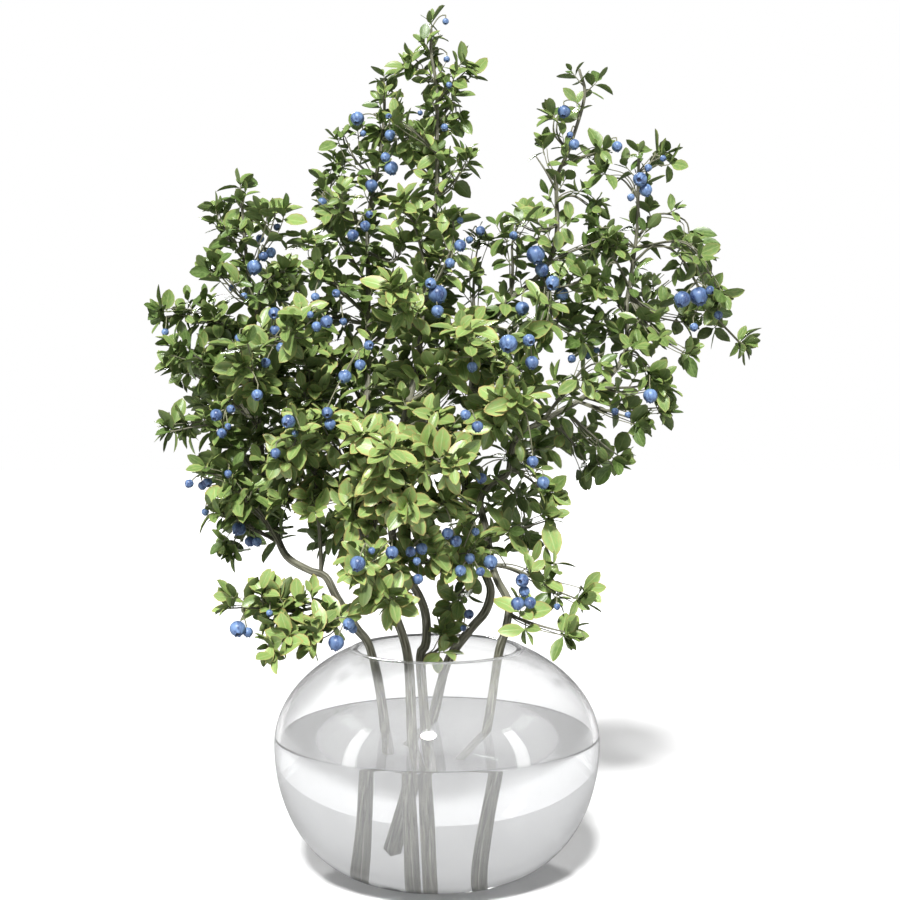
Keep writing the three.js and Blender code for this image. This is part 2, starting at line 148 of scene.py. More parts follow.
# Each branch, in millimetres: the radius of its cut foot; how full it is, how bare at the top and how large
# in the leaf; how far up its stem the leaves begin; its stem from the foot up; its boughs, each as the share
# of the stem where it leaves and then its own places; and its clusters of berries, each as its distance back
# and then the (x, z, diameter) of every berry.
BRANCHES = {
    "left_branch": {
        "radius": 4,
        "fullness": 1.15,
        "bare_top": 0.1,
        "leaf_size": 0.97,
        "leafy_from": 0.5,
        "stem": [
            (-47, 40, 17), (-49, 10, 130), (-61, 2, 205), (-74, -12, 230), (-90, -30, 260),
            (-100, -35, 280), (-115, -30, 285), (-135, -20, 295), (-145, -10, 310), (-155, 0, 335),
            (-160, 10, 365), (-165, 20, 410), (-170, 25, 460), (-170, 25, 510), (-175, 15, 560),
            (-180, 10, 630),
        ],
        "boughs": [
            (0.39, (-110, -60, 255), (-135, -80, 255), (-160, -90, 260), (-180, -95, 260)),
            (0.36, (-95, -75, 240), (-120, -100, 238), (-143, -110, 230)),
            (0.43, (-105, -30, 310), (-110, -25, 375), (-115, -15, 415), (-120, 10, 495)),
            (0.5, (-155, -30, 330), (-170, -45, 350), (-185, -55, 370), (-205, -60, 375)),
            (0.57, (-180, 20, 325), (-193, 30, 300)),
            (0.59, (-180, -10, 390), (-200, -30, 415), (-240, -40, 410)),
            (0.66, (-200, 90, 415), (-235, 140, 435)),
            (0.67, (-190, 10, 450), (-215, 0, 475), (-240, -10, 485)),
            (0.71, (-165, -60, 460), (-170, -90, 490)),
            (0.61, (-130, -70, 390), (-115, -110, 415)),
            (0.73, (-200, 40, 502), (-235, 50, 517), (-262, 45, 514)),
            (0.82, (-160, 70, 535), (-145, 110, 550)),
            (0.8, (-135, -60, 495), (-110, -80, 515)),
            (0.89, (-155, -10, 580), (-145, -20, 605)),
            (0.9, (-195, 30, 590), (-205, 40, 615)),
            (0.62, (-147, 70, 413), (-128, 90, 435), (-113, 95, 444)),
            (0.69, (-158, 60, 454), (-140, 70, 468), (-126, 70, 464)),
            (0.74, (-151, 30, 482), (-131, 20, 489)),
            (0.84, (-183, -20, 537), (-199, -30, 557)),
            (0.79, (-207, 90, 495), (-224, 120, 517)),
            (0.55, (-137, 40, 354), (-120, 60, 370)),
            (0.56, (-182, 10, 362), (-202, 30, 378)),
            (0.53, (-181, 30, 344), (-204, 60, 351)),
            (0.51, (-180, -20, 330), (-197, -30, 338)),
            (0.68, (-227, 40, 460), (-253, 50, 464)),
            (0.82, (-159, -10, 542), (-137, -20, 555)),
        ],
        "berries": [
            (0, (-158, 569, 9), (-152, 573, 10), (-166, 559, 14)),
            (5, (-146, 596, 7), (-162, 586, 8)),
            (10, (-188, 541, 7), (-178, 533, 8)),
            (-30, (-145, 516, 11), (-145, 501, 10)),
            (-60, (-136, 485, 9), (-150, 472, 9)),
            (-20, (-178, 494, 9)),
            (30, (-254, 501, 7)),
            (-85, (-108, 513, 6), (-103, 503, 9), (-94, 507, 11)),
            (-95, (-153, 444, 10)),
            (-60, (-193, 426, 11), (-181, 431, 8), (-183, 416, 6), (-189, 410, 9)),
            (-115, (-124, 422, 12), (-119, 412, 6)),
            (-110, (-136, 395, 9)),
            (-50, (-219, 365, 8), (-208, 363, 8), (-203, 366, 9)),
            (-70, (-182, 375, 7)),
            (-20, (-210, 337, 7)),
            (-20, (-179, 322, 13), (-170, 310, 10), (-163, 310, 9)),
            (-100, (-170, 244, 14), (-162, 240, 9)),
            (-100, (-143, 257, 6)),
            (-95, (-75, 247, 11), (-72, 242, 8), (-86, 231, 14)),
        ],
    },
    "inner_left_branch": {
        "radius": 4,
        "fullness": 1.1,
        "bare_top": 0.0,
        "leaf_size": 0.9,
        "leafy_from": 0.42,
        "stem": [
            (-16, -18, 12), (-22, -40, 130), (-25, -50, 205), (-35, -60, 245), (-45, -65, 265),
            (-60, -60, 285), (-65, -45, 310), (-70, -25, 345), (-70, 0, 390), (-65, 20, 440),
            (-65, 35, 495), (-65, 45, 550), (-65, 45, 605), (-55, 45, 660), (-50, 50, 705),
            (-50, 50, 735),
        ],
        "boughs": [
            (0.38, (-50, -100, 290), (-55, -135, 300), (-60, -155, 295)),
            (0.34, (-38, -110, 270), (-44, -138, 278)),
            (0.41, (-50, -100, 345), (-45, -145, 385), (-40, -165, 410)),
            (0.45, (-90, -50, 350), (-115, -60, 345), (-135, -60, 350)),
            (0.47, (-85, 30, 310), (-115, 80, 295)),
            (0.5, (-90, -60, 400), (-100, -80, 420)),
            (0.57, (-50, 110, 435), (-70, 170, 465)),
            (0.59, (-85, 40, 460), (-110, 40, 490)),
            (0.67, (-45, 120, 515), (-45, 160, 555)),
            (0.71, (-90, 10, 540), (-110, 0, 565), (-110, -5, 580)),
            (0.75, (-90, 80, 585), (-105, 90, 630), (-95, 90, 670)),
            (0.82, (-85, 20, 610), (-105, 10, 625)),
            (0.88, (-75, 40, 660), (-85, 40, 680)),
            (0.93, (-35, 20, 685), (-25, 10, 675)),
            (0.55, (-92, 70, 418), (-117, 90, 412)),
            (0.64, (-89, 80, 473), (-105, 95, 460)),
            (0.72, (-42, 30, 531), (-30, 20, 510)),
            (0.79, (-42, 30, 566), (-31, 20, 580)),
            (0.49, (-44, 60, 370), (-27, 90, 386)),
            (0.7, (-99, 60, 515), (-118, 70, 504)),
        ],
        "berries": [
            (35, (-74, 699, 13), (-69, 686, 6)),
            (10, (-44, 697, 6), (-43, 681, 10)),
            (10, (-47, 660, 9), (-42, 651, 13)),
            (30, (-61, 637, 12)),
            (70, (-110, 626, 9)),
            (10, (-62, 608, 7), (-66, 598, 10), (-77, 589, 11)),
            (-25, (-109, 531, 8)),
            (-25, (-90, 534, 8), (-84, 509, 7)),
            (-95, (-93, 429, 10), (-91, 419, 10)),
            (-60, (-80, 460, 12), (-67, 470, 10), (-59, 487, 9)),
            (-165, (-63, 308, 13), (-52, 318, 6)),
            (-150, (-36, 315, 11)),
        ],
    },
    "middle_branch": {
        "radius": 4.0,
        "fullness": 1.0,
        "bare_top": 0.0,
        "leaf_size": 0.93,
        "leafy_from": 0.4,
        "stem": [
            (-4, -38, 12), (-10, -22, 130), (-15, -10, 200), (-10, -10, 215), (-10, -15, 240),
            (-15, -30, 260), (-25, -45, 280), (-35, -50, 300), (-40, -50, 330), (-35, -55, 375),
            (-30, -60, 415), (-20, -50, 455), (-15, -30, 490), (-10, -15, 540), (-5, 0, 585),
            (0, 5, 630), (0, 0, 675), (0, 0, 720), (-5, 0, 752), (-5, 0, 774),
        ],
        "boughs": [
            (0.24, (0, -12, 209), (7, -15, 221)),
            (0.38, (-20, -80, 300), (-10, -100, 315)),
            (0.41, (-30, -130, 355), (-25, -150, 350)),
            (0.44, (-15, -80, 340), (5, -90, 350)),
            (0.48, (-15, -120, 395), (5, -160, 390), (15, -170, 385)),
            (0.47, (-50, -130, 395), (-60, -150, 410)),
            (0.53, (-10, -80, 420), (5, -100, 410), (15, -110, 395)),
            (0.58, (0, -40, 475), (15, -30, 490), (30, -30, 510)),
            (0.63, (-5, 60, 515), (0, 110, 545)),
            (0.65, (-25, -80, 515), (-30, -110, 535)),
            (0.68, (5, -20, 555), (15, -20, 580), (15, -20, 600)),
            (0.72, (-20, -20, 595), (-30, -30, 615)),
            (0.81, (15, -10, 635), (26, -15, 652)),
            (0.83, (-15, 60, 660), (-5, 70, 695)),
            (0.86, (-20, -10, 680), (-35, -20, 690)),
            (0.89, (15, 10, 710), (18, 10, 697)),
            (0.92, (15, 0, 725), (25, 0, 735)),
            (0.94, (-15, 20, 735), (-25, 20, 740)),
            (0.56, (-5, -70, 450), (3, -75, 464)),
            (0.6, (-30, -20, 469), (-37, 0, 458)),
            (0.5, (-55, -90, 353), (-72, -100, 344)),
        ],
        "berries": [
            (0, (8, 781, 6)),
            (0, (9, 747, 6)),
            (-5, (11, 723, 6)),
            (-5, (-15, 698, 5)),
            (-5, (7, 685, 7)),
            (-60, (-5, 541, 10), (1, 532, 17), (1, 517, 11)),
            (-30, (21, 599, 6)),
            (-35, (21, 576, 11), (12, 561, 9)),
            (-100, (31, 468, 9)),
            (-125, (25, 428, 9), (35, 418, 10)),
            (-125, (-21, 313, 9), (-12, 315, 10), (-16, 305, 7)),
            (-120, (-15, 289, 9)),
            (-120, (10, 328, 10), (17, 321, 10)),
        ],
    },
    "inner_right_branch": {
        "radius": 4,
        "fullness": 0.85,
        "bare_top": 0.35,
        "leaf_size": 0.95,
        "leafy_from": 0.36,
        "stem": [
            (-28, 44, 42), (-5, 42, 130), (10, 30, 190), (30, 30, 220), (45, 20, 240), (50, 15, 260),
            (45, 15, 275), (35, 25, 300), (30, 40, 330), (25, 55, 375), (30, 60, 425), (35, 50, 465),
            (45, 35, 495), (60, 25, 525), (80, 20, 540), (100, 10, 560), (110, 10, 590),
            (110, 10, 640), (120, 10, 665), (135, 10, 715), (130, 10, 740),
        ],
        "boughs": [
            (0.34, (25, -10, 265), (15, -20, 255)),
            (0.38, (25, -60, 300), (10, -90, 300)),
            (0.47, (10, 110, 375), (0, 150, 415)),
            (0.52, (50, -60, 420), (65, -120, 435), (75, -130, 430)),
            (0.56, (50, 60, 460), (75, 60, 485)),
            (0.58, (50, 130, 485), (85, 170, 515)),
            (0.6, (25, -60, 485), (30, -100, 500)),
            (0.64, (35, 40, 520), (35, 45, 560), (40, 45, 590)),
            (0.7, (70, 20, 560), (70, 20, 585), (80, 15, 610)),
            (0.73, (105, 30, 530), (130, 40, 520), (150, 40, 510)),
            (0.75, (100, -20, 530), (85, -50, 490)),
            (0.76, (115, 0, 570), (140, -5, 580), (155, -5, 585)),
            (0.81, (90, -20, 590), (75, -25, 595)),
            (0.85, (100, 0, 645), (90, 0, 660)),
            (0.84, (125, 10, 625), (140, 10, 615)),
            (0.88, (130, 15, 660), (150, 15, 665)),
            (0.9, (110, 5, 680), (110, 5, 695)),
            (0.72, (117, -20, 541), (134, -30, 549)),
            (0.6, (14, 70, 442), (0, 80, 425)),
            (0.44, (2, 70, 336), (-13, 80, 320)),
            (0.62, (57, -20, 467), (76, -40, 464)),
            (0.57, (60, 20, 445), (87, 30, 451)),
            (0.73, (113, 10, 510), (136, 0, 498)),
        ],
        "berries": [
            (5, (116, 701, 12)),
            (0, (121, 679, 6), (125, 671, 10)),
            (10, (165, 670, 10)),
            (20, (40, 594, 9), (30, 586, 7)),
            (0, (70, 588, 8)),
            (-20, (89, 569, 17), (95, 556, 13)),
            (-10, (105, 544, 14), (114, 535, 12)),
            (0, (78, 522, 13)),
            (-90, (62, 488, 16)),
            (-80, (80, 491, 11), (83, 472, 12)),
            (20, (125, 476, 8), (140, 479, 7), (148, 484, 6)),
            (-130, (81, 389, 10)),
            (-90, (34, 326, 7)),
            (-100, (21, 294, 10), (29, 304, 9), (38, 293, 8)),
            (-40, (29, 247, 9), (24, 234, 6)),
        ],
    },
    "right_branch": {
        "radius": 3.8,
        "fullness": 0.66,
        "bare_top": 0.3,
        "leaf_size": 0.98,
        "leafy_from": 0.4,
        "stem": [
            (22, 26, 12), (46, 2, 130), (56, -20, 205), (62, -30, 230), (65, -30, 255), (55, -25, 275),
            (50, -10, 290), (45, 0, 320), (40, 10, 345), (50, 10, 360), (65, 5, 370), (68, 0, 388),
            (75, 0, 405), (100, 5, 420), (135, 10, 440), (160, 15, 460), (175, 15, 485),
            (175, 15, 525), (180, 20, 555), (185, 20, 595), (185, 15, 625), (185, 10, 660),
        ],
        "boughs": [
            (0.33, (75, -60, 245), (95, -70, 240), (115, -70, 235)),
            (0.4, (75, -40, 285), (105, -50, 270), (130, -50, 260)),
            (0.44, (70, -20, 320), (100, -30, 330)),
            (0.52, (80, 80, 340), (90, 110, 295)),
            (0.54, (85, 20, 365), (100, 20, 350)),
            (0.55, (90, 90, 385), (120, 140, 395)),
            (0.62, (120, -50, 455), (135, -70, 470), (145, -75, 470)),
            (0.63, (130, 50, 395), (145, 60, 370)),
            (0.65, (150, 20, 400), (170, 20, 385)),
            (0.68, (180, 30, 430), (210, 40, 430)),
            (0.7, (175, -30, 450), (200, -40, 455)),
            (0.76, (180, -30, 480), (190, -40, 460)),
            (0.77, (205, 90, 535), (230, 130, 555)),
            (0.79, (155, 60, 500), (140, 70, 485)),
            (0.83, (195, -20, 500), (215, -30, 485), (225, -30, 480)),
            (
                0.87, (200, 10, 580), (220, 5, 572), (235, 0, 548), (250, 5, 520), (270, 12, 500),
                (285, 15, 485),
            ),
            (0.89, (225, -10, 580), (250, -20, 545), (255, -20, 530)),
            (0.89, (165, 0, 585), (150, 0, 585)),
            (0.9, (205, 30, 610), (230, 30, 605), (235, 30, 590)),
            (0.95, (170, 10, 640), (155, 10, 640)),
            (0.98, (195, 10, 655), (205, 10, 660)),
            (0.8, (160, 40, 545), (142, 50, 568)),
            (0.84, (160, 0, 568), (147, -20, 546)),
            (0.83, (202, 20, 516), (229, 30, 510)),
            (0.67, (160, -10, 427), (182, -20, 420)),
        ],
        "berries": [
            (-5, (205, 657, 6), (192, 649, 7)),
            (-5, (184, 638, 13), (190, 629, 12), (176, 622, 7)),
            (-25, (220, 529, 15), (236, 532, 17), (245, 537, 8)),
            (-20, (254, 515, 8)),
            (-20, (232, 504, 8)),
            (-60, (188, 443, 13)),
            (-20, (161, 428, 7), (173, 425, 6)),
            (-40, (40, 369, 10)),
            (-10, (97, 363, 12)),
            (-50, (48, 295, 13)),
            (-75, (75, 282, 12), (77, 272, 10), (71, 262, 12), (82, 262, 11)),
            (-70, (106, 258, 6)),
        ],
    },
}


# ---------------------------------------------------------------- shapes


def unit(vectors):
    """Vectors scaled to length one along the last axis."""
    return vectors / np.maximum(np.linalg.norm(vectors, axis=-1, keepdims=True), 1e-12)


def smooth_path(points, count):
    """A Catmull-Rom curve through points, as `count` places spaced evenly along it."""
    knots = np.asarray(points, float)
    knots = np.vstack([2 * knots[0] - knots[1], knots, 2 * knots[-1] - knots[-2]])
    spans = len(knots) - 3
    steps = np.linspace(0, spans, 40 * spans + 1)
    low = np.minimum(steps.astype(int), spans - 1)
    f = (steps - low)[:, None]
    a, b, c, d = (knots[low + number] for number in range(4))
    fine = 0.5 * (2 * b + (c - a) * f + (2 * a - 5 * b + 4 * c - d) * f**2 + (3 * b - a - 3 * c + d) * f**3)
    length = np.r_[0, np.cumsum(np.linalg.norm(np.diff(fine, axis=0), axis=1))]
    even = np.linspace(0, length[-1], count)
    return np.stack([np.interp(even, length, fine[:, axis]) for axis in range(3)], axis=1)


def path_length(path):
    """The sum of the steps from place to place."""
    return float(np.linalg.norm(np.diff(path, axis=0), axis=1).sum())


def side_vectors(tangents, hint):
    """Two unit vectors across each tangent: the hint less its share along the tangent, and their cross."""
    across = unit(hint - (hint * tangents).sum(-1, keepdims=True) * tangents)
    return across, np.cross(tangents, across)


def calm_hint(tangents):
    """For each path, the axis that its tangents keep furthest from."""
    nearest = np.abs(tangents).max(axis=-2)
    return np.eye(3)[nearest.argmin(axis=-1)][..., None, :]


def tubes(paths, radii, sides):
    """Round tubes: a circle across the tangent at each place of a path, and ends bulged by half a radius."""
    tangents = unit(np.gradient(paths, axis=1))
    across, over = side_vectors(tangents, calm_hint(tangents))
    angle = np.linspace(0, 2 * np.pi, sides, endpoint=False)
    circle = across[:, :, None] * np.cos(angle)[:, None] + over[:, :, None] * np.sin(angle)[:, None]
    rings = paths[:, :, None] + radii[:, :, None, None] * circle
    first = paths[:, 0] - tangents[:, 0] * radii[:, :1] * 0.5
    last = paths[:, -1] + tangents[:, -1] * radii[:, -1:] * 0.5
    return rings, first, last


def turned(outline, sides):
    """A solid of revolution: a circle for every (radius, height) of the outline, closed on the axis."""
    radius, height = np.asarray(outline, float).T
    angle = np.linspace(0, 2 * np.pi, sides, endpoint=False)
    x = radius[:, None] * np.cos(angle)
    y = radius[:, None] * np.sin(angle)
    z = np.repeat(height[:, None], sides, axis=1)
    rings = np.stack([x, y, z], axis=-1)
    return rings[None], np.array([[0, 0, height[0]]]), np.array([[0, 0, height[-1]]])


def spread_out(shape, *values):
    """Each value repeated over the whole shape, then laid out flat."""
    return [np.broadcast_to(value, shape).reshape(-1) for value in values]


def side_faces(count, rows, sides):
    """Quads between neighbouring rings, with the item, around, along and side of every corner."""
    item = np.arange(count)[:, None, None]
    row = np.arange(rows - 1)[None, :, None]
    side = np.arange(sides)[None, None, :]
    beside = (side + 1) % sides
    here = item * (rows * sides + 2) + row * sides
    faces = np.stack([here + side, here + beside, here + sides + beside, here + sides + side], axis=-1)
    around = np.stack([side, side + 1, side + 1, side], axis=-1) / sides
    along = (np.stack([row, row, row + 1, row + 1], axis=-1) + 1.0) / (rows + 1)
    shape = (count, rows - 1, sides, 4)
    return faces.reshape(-1, 4), spread_out(shape, item[..., None], around, along, side[..., None])


def end_faces(count, rows, sides):
    """Triangles from the first and the last ring to an end point each, with the same of every corner."""
    item = np.arange(count)[:, None]
    side = np.arange(sides)[None, :]
    beside = (side + 1) % sides
    start = item * (rows * sides + 2)
    last_row = start + (rows - 1) * sides
    first_point = start + rows * sides + 0 * side
    first = np.stack([first_point, start + beside, start + side], axis=-1)
    last = np.stack([first_point + 1, last_row + side, last_row + beside], axis=-1)
    middle = (side + 0.5) / sides
    around = np.concatenate(
        [
            np.stack([middle, (side + 1) / sides, side / sides], axis=-1),
            np.stack([middle, side / sides, (side + 1) / sides], axis=-1),
        ],
        axis=1,
    )
    along = np.array([[0, 1, 1]] * sides + [[rows + 1, rows, rows]] * sides)[None] / (rows + 1)
    shape = (count, 2 * sides, 3)
    faces = np.concatenate([first, last], axis=1).reshape(-1, 3)
    return faces, spread_out(shape, item[..., None], around, along, np.tile(side, 2)[..., None])


def closed_mesh(name, parts, uv_of, sharp_sides=()):
    """One mesh from lots of ringed shapes, each (rings, first, last), rings being (count, rows, sides, 3).

    Quads join neighbouring rings, and triangles close each end on its own point. The map is
    uv_of(part number, item, around, along, side): around and along run from 0 to 1, and side is the face's
    place round the ring. Where sharp_sides are given, the edges along them are sharp.
    """
    verts, quads, tris, quad_uv, tri_uv, sharp = [], [], [], [], [], []
    offset = 0
    for number, (rings, first, last) in enumerate(parts):
        count, rows, sides, _ = rings.shape
        each = rows * sides + 2
        shapes = np.concatenate([rings.reshape(count, -1, 3), first[:, None], last[:, None]], axis=1)
        verts.append(shapes.reshape(-1, 3))
        faces, places = side_faces(count, rows, sides)
        quads.append(offset + faces)
        quad_uv.append(uv_of(number, *places))
        faces, places = end_faces(count, rows, sides)
        tris.append(offset + faces)
        tri_uv.append(uv_of(number, *places))
        flags = np.zeros((count, each), bool)
        for one in sharp_sides:
            flags[:, one : rows * sides : sides] = True
            flags[:, rows * sides :] = True
        sharp.append(flags.reshape(-1))
        offset += count * each
    uv = np.concatenate(quad_uv + tri_uv)
    mesh = mesh_from(name, np.concatenate(verts), np.concatenate(quads), np.concatenate(tris), uv)
    if sharp_sides:
        ends = np.empty(len(mesh.edges) * 2, np.int32)
        mesh.edges.foreach_get("vertices", ends)
        flags = np.concatenate(sharp)[ends].reshape(-1, 2).all(axis=1)
        mesh.attributes.new("sharp_edge", "BOOLEAN", "EDGE").data.foreach_set("value", flags)
    mesh.validate()
    piece = bpy.data.objects.new(name, mesh)
    bpy.context.scene.collection.objects.link(piece)
    return piece


def mesh_from(name, verts, quads, tris, uv):
    """A smooth mesh of these quads and then these triangles, with the map of their corners."""
    mesh = bpy.data.meshes.new(name)
    mesh.vertices.add(len(verts))
    mesh.vertices.foreach_set("co", verts.astype(np.float32).ravel())
    mesh.loops.add(quads.size + tris.size)
    mesh.loops.foreach_set("vertex_index", np.r_[quads.ravel(), tris.ravel()].astype(np.int32))
    mesh.polygons.add(len(quads) + len(tris))
    starts = np.r_[np.arange(len(quads)) * 4, quads.size + np.arange(len(tris)) * 3]
    mesh.polygons.foreach_set("loop_start", starts.astype(np.int32))
    mesh.update(calc_edges=True)
    mesh.uv_layers.new(name="OFBake")
    mesh.uv_layers["OFBake"].data.foreach_set("uv", uv.astype(np.float32).ravel())
    mesh.polygons.foreach_set("use_smooth", np.ones(len(mesh.polygons), bool))
    return mesh


def finish_piece(piece, material, slot, *nodes):
    """The piece takes its material, rides on the one body and stands for its CAD nodes; slot is not used."""
    piece.data.materials.append(material)
    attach(piece, "root")
    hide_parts(*nodes)
    return piece


# ---------------------------------------------------------------- growth


def branch_seed(name):
    """A number of its own for each branch's random draws: 1 for the first."""
    return list(BRANCHES).index(name) + 1


def stem_path(branch):
    """The stem from its cut foot to its tip."""
    return smooth_path(np.array(branch["stem"]) * MM, STEM_RINGS)


def place_along(path, share):
    """The places at shares of a path's length, in a straight line between its own places."""
    at = np.clip(share, 0, 1) * (len(path) - 1)
    return np.stack([np.interp(at, np.arange(len(path)), path[:, axis]) for axis in range(3)], axis=-1)


def bough_paths(branch, stem):
    """Every bough from its place on the stem through its own points."""
    return np.array(
        [
            smooth_path(np.vstack([place_along(stem, row[0]), np.array(row[1:]) * MM]), BOUGH_RINGS)
            for row in branch["boughs"]
        ]
    )


def shoots(path, stretch, spacing, plan, rng):
    """Twigs up a stretch of path, turned by the golden angle from one to the next.

    A sine wave draws their even spacing together into tufts, with barer wood between. Each twig opens at an
    angle from the path, leans upwards, and curves up a little more by the square of the way along it.
    """
    start, end = stretch
    length = (end - start) * path_length(path)
    count = max(1, round(length / spacing))
    share = (np.arange(count) + rng.uniform(-0.25, 0.25, count) + 0.5) / count
    waves = 2 * np.pi * max(1, round(length / plan.tuft_spacing))
    share = share + TUFT_PULL * np.sin(waves * share) / waves
    share = start + (end - start) * share
    share[-1] = end
    base = place_along(path, share)
    ahead = unit(place_along(path, share + 0.02) - place_along(path, share - 0.02))
    hint = np.broadcast_to(calm_hint(ahead[None])[0], ahead.shape)
    across, over = side_vectors(ahead, hint)
    turn = np.arange(count) * GOLDEN_ANGLE + rng.uniform(0, 2 * np.pi) + rng.uniform(-0.4, 0.4, count)
    out = across * np.cos(turn)[:, None] + over * np.sin(turn)[:, None]
    opening = np.radians(rng.uniform(*TWIG_OPENING, count))[:, None]
    heading = unit(ahead * np.cos(opening) + out * np.sin(opening) + UP * TWIG_LIFT)
    reach = plan.twig_length * rng.uniform(*TWIG_LENGTHS, count)
    reach[-1] *= LAST_TWIG
    heading[-1] = ahead[-1]
    step = np.linspace(0, 1, TWIG_RINGS)[None, :, None]
    rise = UP * TWIG_CURVE + out[:, None] * rng.uniform(-TWIG_STRAY, TWIG_STRAY, (count, 1, 1))
    return base[:, None] + reach[:, None, None] * (heading[:, None] * step + rise * step**2)


def strands(boughs, plan, rng):
    """Thin shoots that start with each bough and fan out from it by a power of the way along."""
    count = len(boughs)
    tangents = unit(np.gradient(boughs, axis=1))
    across, over = side_vectors(tangents, calm_hint(tangents))
    made = []
    for number in range(plan.strands_per_bough):
        turn = (number * GOLDEN_ANGLE * 2 + rng.uniform(0, 2 * np.pi, (count, 1)))[..., None]
        out = across * np.cos(turn) + over * np.sin(turn)
        share = np.linspace(0, 1, BOUGH_RINGS)[None, :, None]
        spread = plan.strand_spread * rng.uniform(0.6, 1.2, (count, 1, 1)) * share**0.8
        wander = 0.15 * spread * np.sin(share * 9 + turn)
        made.append(boughs + out * (spread + wander))
    return np.concatenate(made)


def risen(places, rise):
    """0 up to the crown's top part, then evenly up to 1 over `rise`."""
    return np.clip((places[:, 2] - CROWN_TOP) / rise, 0, 1)


def grow(branch_name, plan):
    """A whole branch: its stem, its boughs, the thin strands beside them and the leafy twigs on them all."""
    branch = BRANCHES[branch_name]
    rng = np.random.default_rng(100 + branch_seed(branch_name))
    stem = stem_path(branch)
    boughs = bough_paths(branch, stem)
    thin = strands(boughs, plan, rng)
    spacing = plan.twig_spacing / branch["fullness"]
    twigs = [shoots(stem, (branch["leafy_from"], 1.0), spacing * STEM_SPACING, plan, rng)]
    twigs += [shoots(path, BOUGH_TWIGS, spacing, plan, rng) for path in boughs]
    twigs += [shoots(path, STRAND_TWIGS, spacing * STRAND_SPACING, plan, rng) for path in thin]
    twigs = np.concatenate(twigs)
    kept = rng.random(len(twigs)) >= branch["bare_top"] * risen(twigs[:, 0], BARING_RISE)
    return stem, boughs, thin, twigs[kept]


def berry_places(branch):
    """Every berry's centre and diameter, and the heart of its cluster, the place that it hangs from.

    The berries of a cluster stand a quarter of a diameter forward and back in turn.
    """
    centres, diameters, hearts = [], [], []
    for back, *fruits in branch["berries"]:
        spots = np.array([(x, back, z) for x, z, _ in fruits]) * MM
        sizes = np.array([d for _, _, d in fruits]) * MM
        if len(fruits) > 1:
            spots[:, 1] += (np.arange(len(fruits)) % 2 - 0.5) * sizes * 0.5
        centres.append(spots)
        diameters.append(sizes)
        heart = spots.mean(axis=0) + np.array([0, 6 * MM, 0.5 * sizes.max() + 4 * MM])
        hearts.append(np.repeat(heart[None], len(fruits), axis=0))
    return np.concatenate(centres), np.concatenate(diameters), np.concatenate(hearts)


def arcs(start, end, rows, sag):
    """Smooth bows from start to end, `rows` places each, that rise by `sag` at the middle."""
    step = np.linspace(0, 1, rows)[None, :, None]
    return start[:, None] * (1 - step) + end[:, None] * step + UP * (4 * sag * step * (1 - step))


def stalks(branch, stem, boughs):
    """A bearing twig from the nearest wood to each cluster's heart, and a stalk from there to each berry."""
    centres, _, hearts = berry_places(branch)
    wood = np.vstack([stem[STEM_RINGS // 3 :], boughs.reshape(-1, 3)])
    each = np.unique(hearts, axis=0)
    near = wood[np.linalg.norm(each[:, None] - wood[None], axis=2).argmin(axis=1)]
    bearing = arcs(near, each, TWIG_RINGS, 4 * MM)
    single = arcs(hearts, centres, TWIG_RINGS, 1 * MM)
    return np.concatenate([bearing, single])


def tapered(foot, share):
    """A stem's radius at a share of its length: from the foot's to the tip's by a power of the share."""
    return foot + (TIP_RADIUS - foot) * share**STEM_TAPER


def even_taper(radius, end_share, rows, count):
    """Radii of `count` tubes that thin evenly to a share of their first radius."""
    return np.repeat(np.linspace(radius, end_share * radius, rows)[None], count, axis=0)


def make_wood(branch_name, plan):
    """Stem, boughs, strands, twigs and berry stalks, all round tubes in one piece."""
    branch = BRANCHES[branch_name]
    stem, boughs, thin, twigs = grow(branch_name, plan)
    share = np.linspace(0, 1, STEM_RINGS)
    foot = branch["radius"] * MM
    stem_radius = tapered(foot, share) * (STEM_GIRTH + FOOT_FLARE * np.exp(-share / FLARE_SHARE))
    knots = 1 + KNOT_SWELL * np.sin(share * 61) * np.sin(share * 23 + branch_seed(branch_name))
    at = np.array([row[0] for row in branch["boughs"]])[:, None]
    bough_foot = np.minimum(BOUGH_RADIUS, 0.8 * tapered(foot, at))
    bough_radius = bough_foot + (0.5 * TIP_RADIUS - bough_foot) * np.linspace(0, 1, BOUGH_RINGS)
    twig_radius = even_taper(TWIG_RADIUS, 0.4, TWIG_RINGS, len(twigs))
    thin_radius = even_taper(TWIG_RADIUS, 0.5, BOUGH_RINGS, len(thin))
    hung = stalks(branch, stem, boughs)
    stalk_radius = np.full(hung.shape[:2], STALK_RADIUS)
    parts = [
        tubes(stem[None], (stem_radius * knots)[None], STEM_SIDES),
        tubes(boughs, bough_radius, BOUGH_SIDES),
        tubes(thin, thin_radius, TWIG_SIDES),
        tubes(twigs, twig_radius, TWIG_SIDES),
        tubes(hung, stalk_radius, TWIG_SIDES),
    ]

    def bark_map(number, item, around, along, side):
        """Stems fill most of the map's height; boughs, strands, twigs and stalks have narrow bands above."""
        low, high = BARK_BANDS[number]
        return np.stack([around, low + (high - low) * along], axis=-1)

    piece = closed_mesh(branch_name + "_wood_grown", parts, bark_map)
    return finish_piece(piece, bark_material(plan), "bark", branch_name + "_wood")


